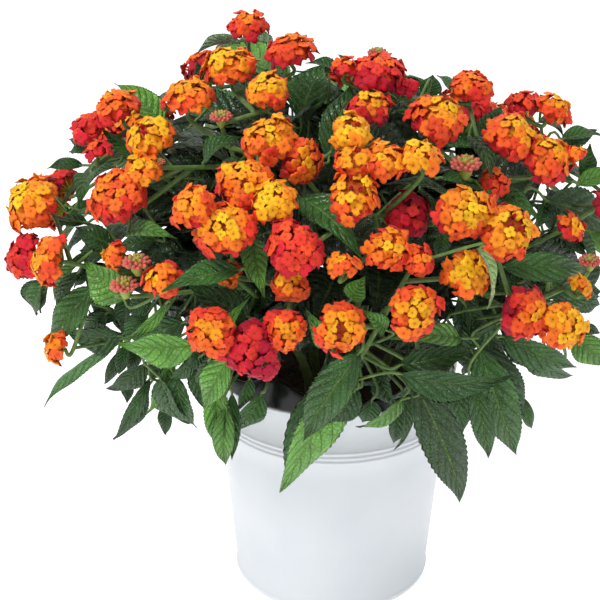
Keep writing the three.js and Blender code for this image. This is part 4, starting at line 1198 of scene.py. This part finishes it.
def ridge(low, high, height, roundness, shares):
    """Points of a small round ridge on the planter's wall, between two heights."""
    points = []
    for t in np.linspace(*shares, 8):
        z = low + (high - low) * t
        points.append((wall_radius(z) + height * math.sin(math.pi * t) ** roundness, z))
    return points


def planter_profile():
    rim_r = wall_radius(PLANTER_HEIGHT) - 0.1
    beads = []
    for k in (2, 1, 0):
        top = BEAD_TOP - k * BEAD_PITCH
        beads += ridge(top - BEAD_PITCH, top, BEAD_HEIGHT, 0.8, (0.06, 0.94))
    return [
        (0, 0), (wall_radius(0) - 2, 0), (wall_radius(0), 0.2),
        *ridge(0, FOOT_BEAD, 1.2, 0.7, (0.08, 1)),
        (wall_radius(60), 60), (wall_radius(120), 120),
        *beads,
        (wall_radius(PLANTER_HEIGHT - 3.4), PLANTER_HEIGHT - 3.4),
        *arc(rim_r, PLANTER_HEIGHT - 1.5, 1.5, -70, 180, 11),
        (rim_r - 1.6, PLANTER_HEIGHT - 4),
        (wall_radius(PLANTER_FLOOR + 3) - PLANTER_WALL, PLANTER_FLOOR + 3),
        (wall_radius(PLANTER_FLOOR) - PLANTER_WALL - 3, PLANTER_FLOOR),
        (0, PLANTER_FLOOR),
    ]


def pot_radius(z):
    return POT_BASE_RADIUS + (POT_TOP_RADIUS - POT_BASE_RADIUS) * (z - POT_FLOOR) / (LIP_UNDER - POT_FLOOR)


def pot_profile():
    top = LIP_UNDER + LIP_HEIGHT
    return [
        (0, POT_FLOOR), (POT_BASE_RADIUS - 2, POT_FLOOR), (POT_BASE_RADIUS, POT_FLOOR + 1.5),
        (pot_radius(100), 100),
        (pot_radius(LIP_UNDER) - 0.2, LIP_UNDER + 0.05),
        (LIP_RADIUS - 1.4, LIP_UNDER + 0.05),
        *arc(LIP_RADIUS - 1.2, LIP_UNDER + 1.3, 1.2, -60, 20, 5),
        (LIP_RADIUS - 0.3, LIP_UNDER + LIP_HEIGHT * 0.5),
        *arc(LIP_RADIUS - 3.4, top - 2.2, 2.2, 15, 165, 9),
        (LIP_RADIUS - 7, top - 5),
        (pot_radius(LIP_UNDER) - POT_WALL, LIP_UNDER + 2),
        (pot_radius(100) - POT_WALL, 100),
        (POT_BASE_RADIUS - POT_WALL, POT_FLOOR + POT_BOTTOM),
        (0, POT_FLOOR + POT_BOTTOM),
    ]


def buckle_lip(points):
    """Lifts the buckled stretch of the lip, as in the solid."""
    turn = np.degrees(np.arctan2(points[:, 0], -points[:, 1]))
    fold = np.exp(-((turn - FOLD_TURN) / FOLD_WIDTH) ** 2)
    above = np.maximum(0, points[:, 2] - LIP_UNDER - 1) / (LIP_HEIGHT - 1)
    return points + np.outer(above * FOLD_LIFT * fold, [0, 0, 1])


SOIL_RINGS = 34
SOIL_CLOD = 1.3
SOIL_CRUMB = 0.45


def soil_level(x, y, share):
    """Height of the soil at a place, from its rim (share 1) to its crown."""
    level = SOIL_EDGE + (SOIL_CROWN - SOIL_EDGE) * (1 - share ** 1.3)
    clods = np.sin(0.55 * x + 1.7 * np.sin(0.31 * y)) * np.cos(0.62 * y + 1.3 * np.sin(0.4 * x))
    crumbs = np.sin(1.9 * x + 0.7 * y) * np.cos(2.3 * y - 0.5 * x)
    return level + (SOIL_CLOD * clods + SOIL_CRUMB * crumbs) * (share < 0.97)


def add_soil():
    floor = POT_FLOOR + POT_BOTTOM + GAP
    clear = POT_WALL + 2 * GAP
    inside = pot_radius(SOIL_EDGE) - clear
    top = [(inside * (1 - k / SOIL_RINGS), SOIL_EDGE) for k in range(SOIL_RINGS)]
    profile = [(0, floor), (pot_radius(floor) - clear - 0.6, floor), *top, (0, SOIL_CROWN)]

    def crumble(points):
        x, y, z = points.T
        level = soil_level(x, y, np.hypot(x, y) / inside)
        return np.column_stack([x, y, np.where(z >= SOIL_EDGE, level, z)])

    lathe_piece("soil_surface", profile, soil_material, "soil", crumble)


# ---------- materials ----------

class Nodes:
    """A material's nodes, made and linked in few words."""

    def __init__(self, name):
        self.material = bpy.data.materials.new(name)
        self.material.use_nodes = True
        self.tree = self.material.node_tree
        self.shader = self.tree.nodes["Principled BSDF"]

    def put(self, socket, value):
        """Links what another node gives, or sets a number or colour that is the same all over."""
        if isinstance(value, bpy.types.NodeSocket):
            self.tree.links.new(value, socket)
        else:
            socket.default_value = (*value, 1) if socket.type == "RGBA" else value

    def set(self, name, value):
        self.put(self.shader.inputs[name], value)

    def make(self, kind, inputs=None, **settings):
        node = self.tree.nodes.new(kind)
        for name, value in settings.items():
            setattr(node, name, value)
        for key, value in (inputs or {}).items():
            self.put(node.inputs[key], value)
        return node

    def math(self, operation, *values):
        return self.make("ShaderNodeMath", dict(enumerate(values)), operation=operation).outputs[0]

    def mix(self, share, first, second, blend="MIX"):
        inputs = {0: share, 6: first, 7: second}
        return self.make("ShaderNodeMix", inputs, data_type="RGBA", blend_type=blend).outputs[2]

    def tint(self):
        """The tint that each point of the mesh has."""
        return self.make("ShaderNodeAttribute", attribute_name="tint").outputs["Color"]

    def coordinates(self):
        return self.make("ShaderNodeTexCoord").outputs["Object"]

    def noise(self, scale, detail=3):
        return self.make("ShaderNodeTexNoise", {
            "Vector": self.coordinates(), "Scale": scale, "Detail": detail,
        }).outputs["Fac"]

    def map(self, value, low, high, new_low, new_high):
        return self.make("ShaderNodeMapRange", {
            "Value": value, "From Min": low, "From Max": high, "To Min": new_low, "To Max": new_high,
        }).outputs["Result"]

    def bump(self, height, distance, strength):
        self.set("Normal", self.make("ShaderNodeBump", {
            "Height": height, "Distance": distance, "Strength": strength,
        }).outputs["Normal"])


def petal():
    m = Nodes("petal")
    streaks = m.map(m.noise(900, 4), 0.35, 0.7, 0, 0.12)
    m.set("Base Color", m.mix(streaks, m.tint(), linear(255, 96, 30), "SOFT_LIGHT"))
    m.set("Roughness", m.map(m.noise(500), 0.3, 0.7, 0.5, 0.68))
    m.set("Specular IOR Level", 0.2)
    m.set("Sheen Weight", 0.04)
    m.set("Sheen Roughness", 0.4)
    m.bump(m.noise(1400, 2), 0.0002, 0.5)
    return m.material


def leaf_face(name, under):
    """A face of the blade, quilted and netted; its pale veins are grooves, or ribs on the underside."""
    vein_tint = linear(168, 186, 120) if under else linear(128, 160, 80)
    vein_share, net_share = (0.75, 0.25) if under else (0.6, 0.1)
    smooth, rough, shine = (0.5, 0.7, 0.35) if under else (0.26, 0.44, 0.6)
    swelling, vein_height = (-2, 1) if under else (2, -0.8)
    m = Nodes(name)
    place = m.make("ShaderNodeUVMap", uv_map="blade").outputs["UV"]
    split = m.make("ShaderNodeSeparateXYZ", {"Vector": place})
    share = m.math("ABSOLUTE", m.math("MULTIPLY_ADD", split.outputs["X"], 2, -1))
    bow = m.math("MULTIPLY", m.math("MULTIPLY", share, share), VEIN_BOW)
    lean = m.math("MULTIPLY_ADD", share, VEIN_LEAN, bow)
    field = m.math("MULTIPLY", m.math("SUBTRACT", split.outputs["Y"], lean), SIDE_VEINS)
    to_vein = m.math("PINGPONG", field, 0.5)
    vein = m.math("MAXIMUM", m.map(to_vein, 0, 0.06, 1, 0), m.map(share, 0, 0.08, 1, 0))
    cells = m.make("ShaderNodeTexVoronoi", {"Vector": m.coordinates(), "Scale": 340},
                   feature="DISTANCE_TO_EDGE")
    net = m.map(cells.outputs["Distance"], 0, 0.12, 1, 0)
    patchy = m.map(m.noise(90, 4), 0.3, 0.7, 0.72, 1.25)
    grey = m.make("ShaderNodeCombineColor", {0: patchy, 1: patchy, 2: patchy}).outputs[0]
    colour = m.mix(m.math("MULTIPLY", vein, vein_share), m.mix(1, m.tint(), grey, "MULTIPLY"), vein_tint)
    m.set("Base Color", m.mix(m.math("MULTIPLY", net, net_share), colour, vein_tint))
    m.set("Roughness", m.map(m.noise(300), 0.3, 0.7, smooth, rough))
    m.set("Specular IOR Level", shine)
    swell = m.math("MULTIPLY", m.math("POWER", to_vein, 0.6), swelling)
    lines = m.math("SUBTRACT", m.math("MULTIPLY", vein, vein_height), m.math("MULTIPLY", net, 0.5))
    m.bump(m.math("ADD", swell, lines), 0.001, 1)
    return m.material


def stem():
    m = Nodes("stem")
    m.set("Base Color", m.mix(m.map(m.noise(260, 4), 0.4, 0.75, 0, 0.4), m.tint(), linear(150, 170, 96)))
    m.set("Roughness", 0.55)
    m.bump(m.noise(1200), 0.0003, 0.5)
    return m.material


def enamel():
    m = Nodes("white_enamel")
    patches = m.map(m.noise(18), 0.35, 0.7, 0, 1)
    m.set("Base Color", m.mix(patches, linear(217, 222, 227), linear(210, 216, 222)))
    m.set("Roughness", m.map(m.noise(40, 4), 0.3, 0.7, 0.3, 0.4))
    m.set("Coat Weight", 0.3)
    m.set("Coat Roughness", 0.2)
    m.bump(m.noise(30, 2), 0.0004, 0.12)
    return m.material


def black_plastic():
    m = Nodes("black_plastic")
    dust = m.map(m.noise(60, 4), 0.4, 0.75, 0, 0.5)
    m.set("Base Color", m.mix(dust, (0.003, 0.004, 0.004), (0.012, 0.014, 0.014)))
    m.set("Roughness", m.map(m.noise(120), 0.3, 0.7, 0.14, 0.3))
    m.set("Specular IOR Level", 0.35)
    m.bump(m.noise(160), 0.0004, 0.3)
    return m.material


def potting_soil():
    m = Nodes("potting_soil")
    crumbs = m.map(m.noise(500, 5), 0.35, 0.7, 0, 1)
    m.set("Base Color", m.mix(crumbs, linear(38, 28, 22), linear(86, 66, 50)))
    m.set("Roughness", 0.95)
    m.bump(m.noise(700, 5), 0.0012, 0.8)
    return m.material


petal_material = petal()
leaf_top_material = leaf_face("leaf_top", under=False)
leaf_under_material = leaf_face("leaf_under", under=True)
stem_material = stem()
enamel_material = enamel()
plastic_material = black_plastic()
soil_material = potting_soil()


# ---------- putting the bush together ----------

heads = [*front_heads(), *back_heads()]
buds = bud_heads()

corner_tree, corner_owners = node_corners(("bloom", "leafy"))
for head in heads:
    head.node = owner_of_head(head, corner_tree, corner_owners)

ends = [(head, HEAD_FOOT * HEAD_FLATNESS * head.radius) for head in [*heads, *buds]]
ends.sort(key=lambda end: (end[0].centre - nearest_shoot(end[0].centre).hub).length)
for head, reach in ends:
    shoot = nearest_shoot(head.centre)
    shoot.stems.append(branch_points(shoot, head, reach))

for index, bud in enumerate(buds):
    nearest_shoot(bud.centre).buds.append((bud, index))

leafy_tree, _ = node_corners("leafy")
for index, leaf in enumerate([*map(leaf_of_row, LEAVES), *spread_leaves()]):
    slide_leaf(leaf, leafy_tree)
    leaf.young_tint = YOUNG_TINTS.get(index)
    leaf.sway = SWAYS.get(index, 0)
    leaf.width *= WIDTHS.get(index, 1)
    nearest_shoot(leaf.base).leaves.append(leaf)
for leaf in map(leaf_of_row, DEEP_LEAVES):
    nearest_shoot(leaf.base).deep_leaves.append(leaf)
for leaf in inner_leaves():
    nearest_shoot(leaf.base).inner_leaves.append(leaf)

for name in sorted({head.node for head in heads}):
    skin = Skin()
    for index, head in enumerate(heads):
        if head.node == name:
            add_head(skin, head, index)
    skin.build(f"florets_{name}", [petal_material], name)

for number, shoot in enumerate(shoots, 1):
    dress_shoot(shoot, number)

lathe_piece("planter_body", planter_profile(), enamel_material, "planter")
lathe_piece("nursery_pot_body", pot_profile(), plastic_material, "nursery_pot", buckle_lip)
add_soil()


# ---------- floor, light and camera ----------

MIDDLE = Vector((0, 0, 0.3))  # of the plant in its pot, in metres
FLOOR_SIZE = 12
GLOW = 0.55  # of the white floor and of the white world round it
CAMERA_LENS = 84.3
CAMERA_SENSOR = 36


def add_floor():
    m = Nodes("floor")
    m.set("Base Color", (0.9, 0.9, 0.9))
    m.set("Roughness", 0.9)
    m.set("Emission Color", (1, 1, 1))
    m.set("Emission Strength", GLOW)
    bpy.ops.mesh.primitive_plane_add(size=FLOOR_SIZE)
    floor = bpy.context.object
    floor.name = "floor"
    floor.data.materials.append(m.material)


def add_light(name, size, power, place):
    data = bpy.data.lights.new(name, "AREA")
    data.size = size
    data.energy = power
    light = bpy.data.objects.new(name, data)
    light.location = place
    light.rotation_euler = (MIDDLE - Vector(place)).to_track_quat("-Z", "Y").to_euler()
    bpy.context.scene.collection.objects.link(light)


add_floor()
add_light("key", 0.6, 15, (-0.7, -0.7, 1.5))
add_light("fill", 1.2, 1.5, (1.1, -1.0, 0.7))
add_light("back", 1.4, 7, (0.3, 1.1, 1.4))

world = bpy.data.worlds.new("studio")
bpy.context.scene.world = world
world.use_nodes = True
background = world.node_tree.nodes["Background"].inputs
background["Color"].default_value = (1, 1, 1, 1)
background["Strength"].default_value = GLOW

camera_data = bpy.data.cameras.new("camera")
camera_data.lens = CAMERA_LENS
camera_data.sensor_width = CAMERA_SENSOR
camera = bpy.data.objects.new("camera", camera_data)
camera.location = EYE * MM
camera.rotation_euler = (math.pi / 2 - EYE_DIP, 0, EYE_TURN)
bpy.context.scene.collection.objects.link(camera)
bpy.context.scene.camera = camera
bpy.context.scene.view_settings.view_transform = "Standard"
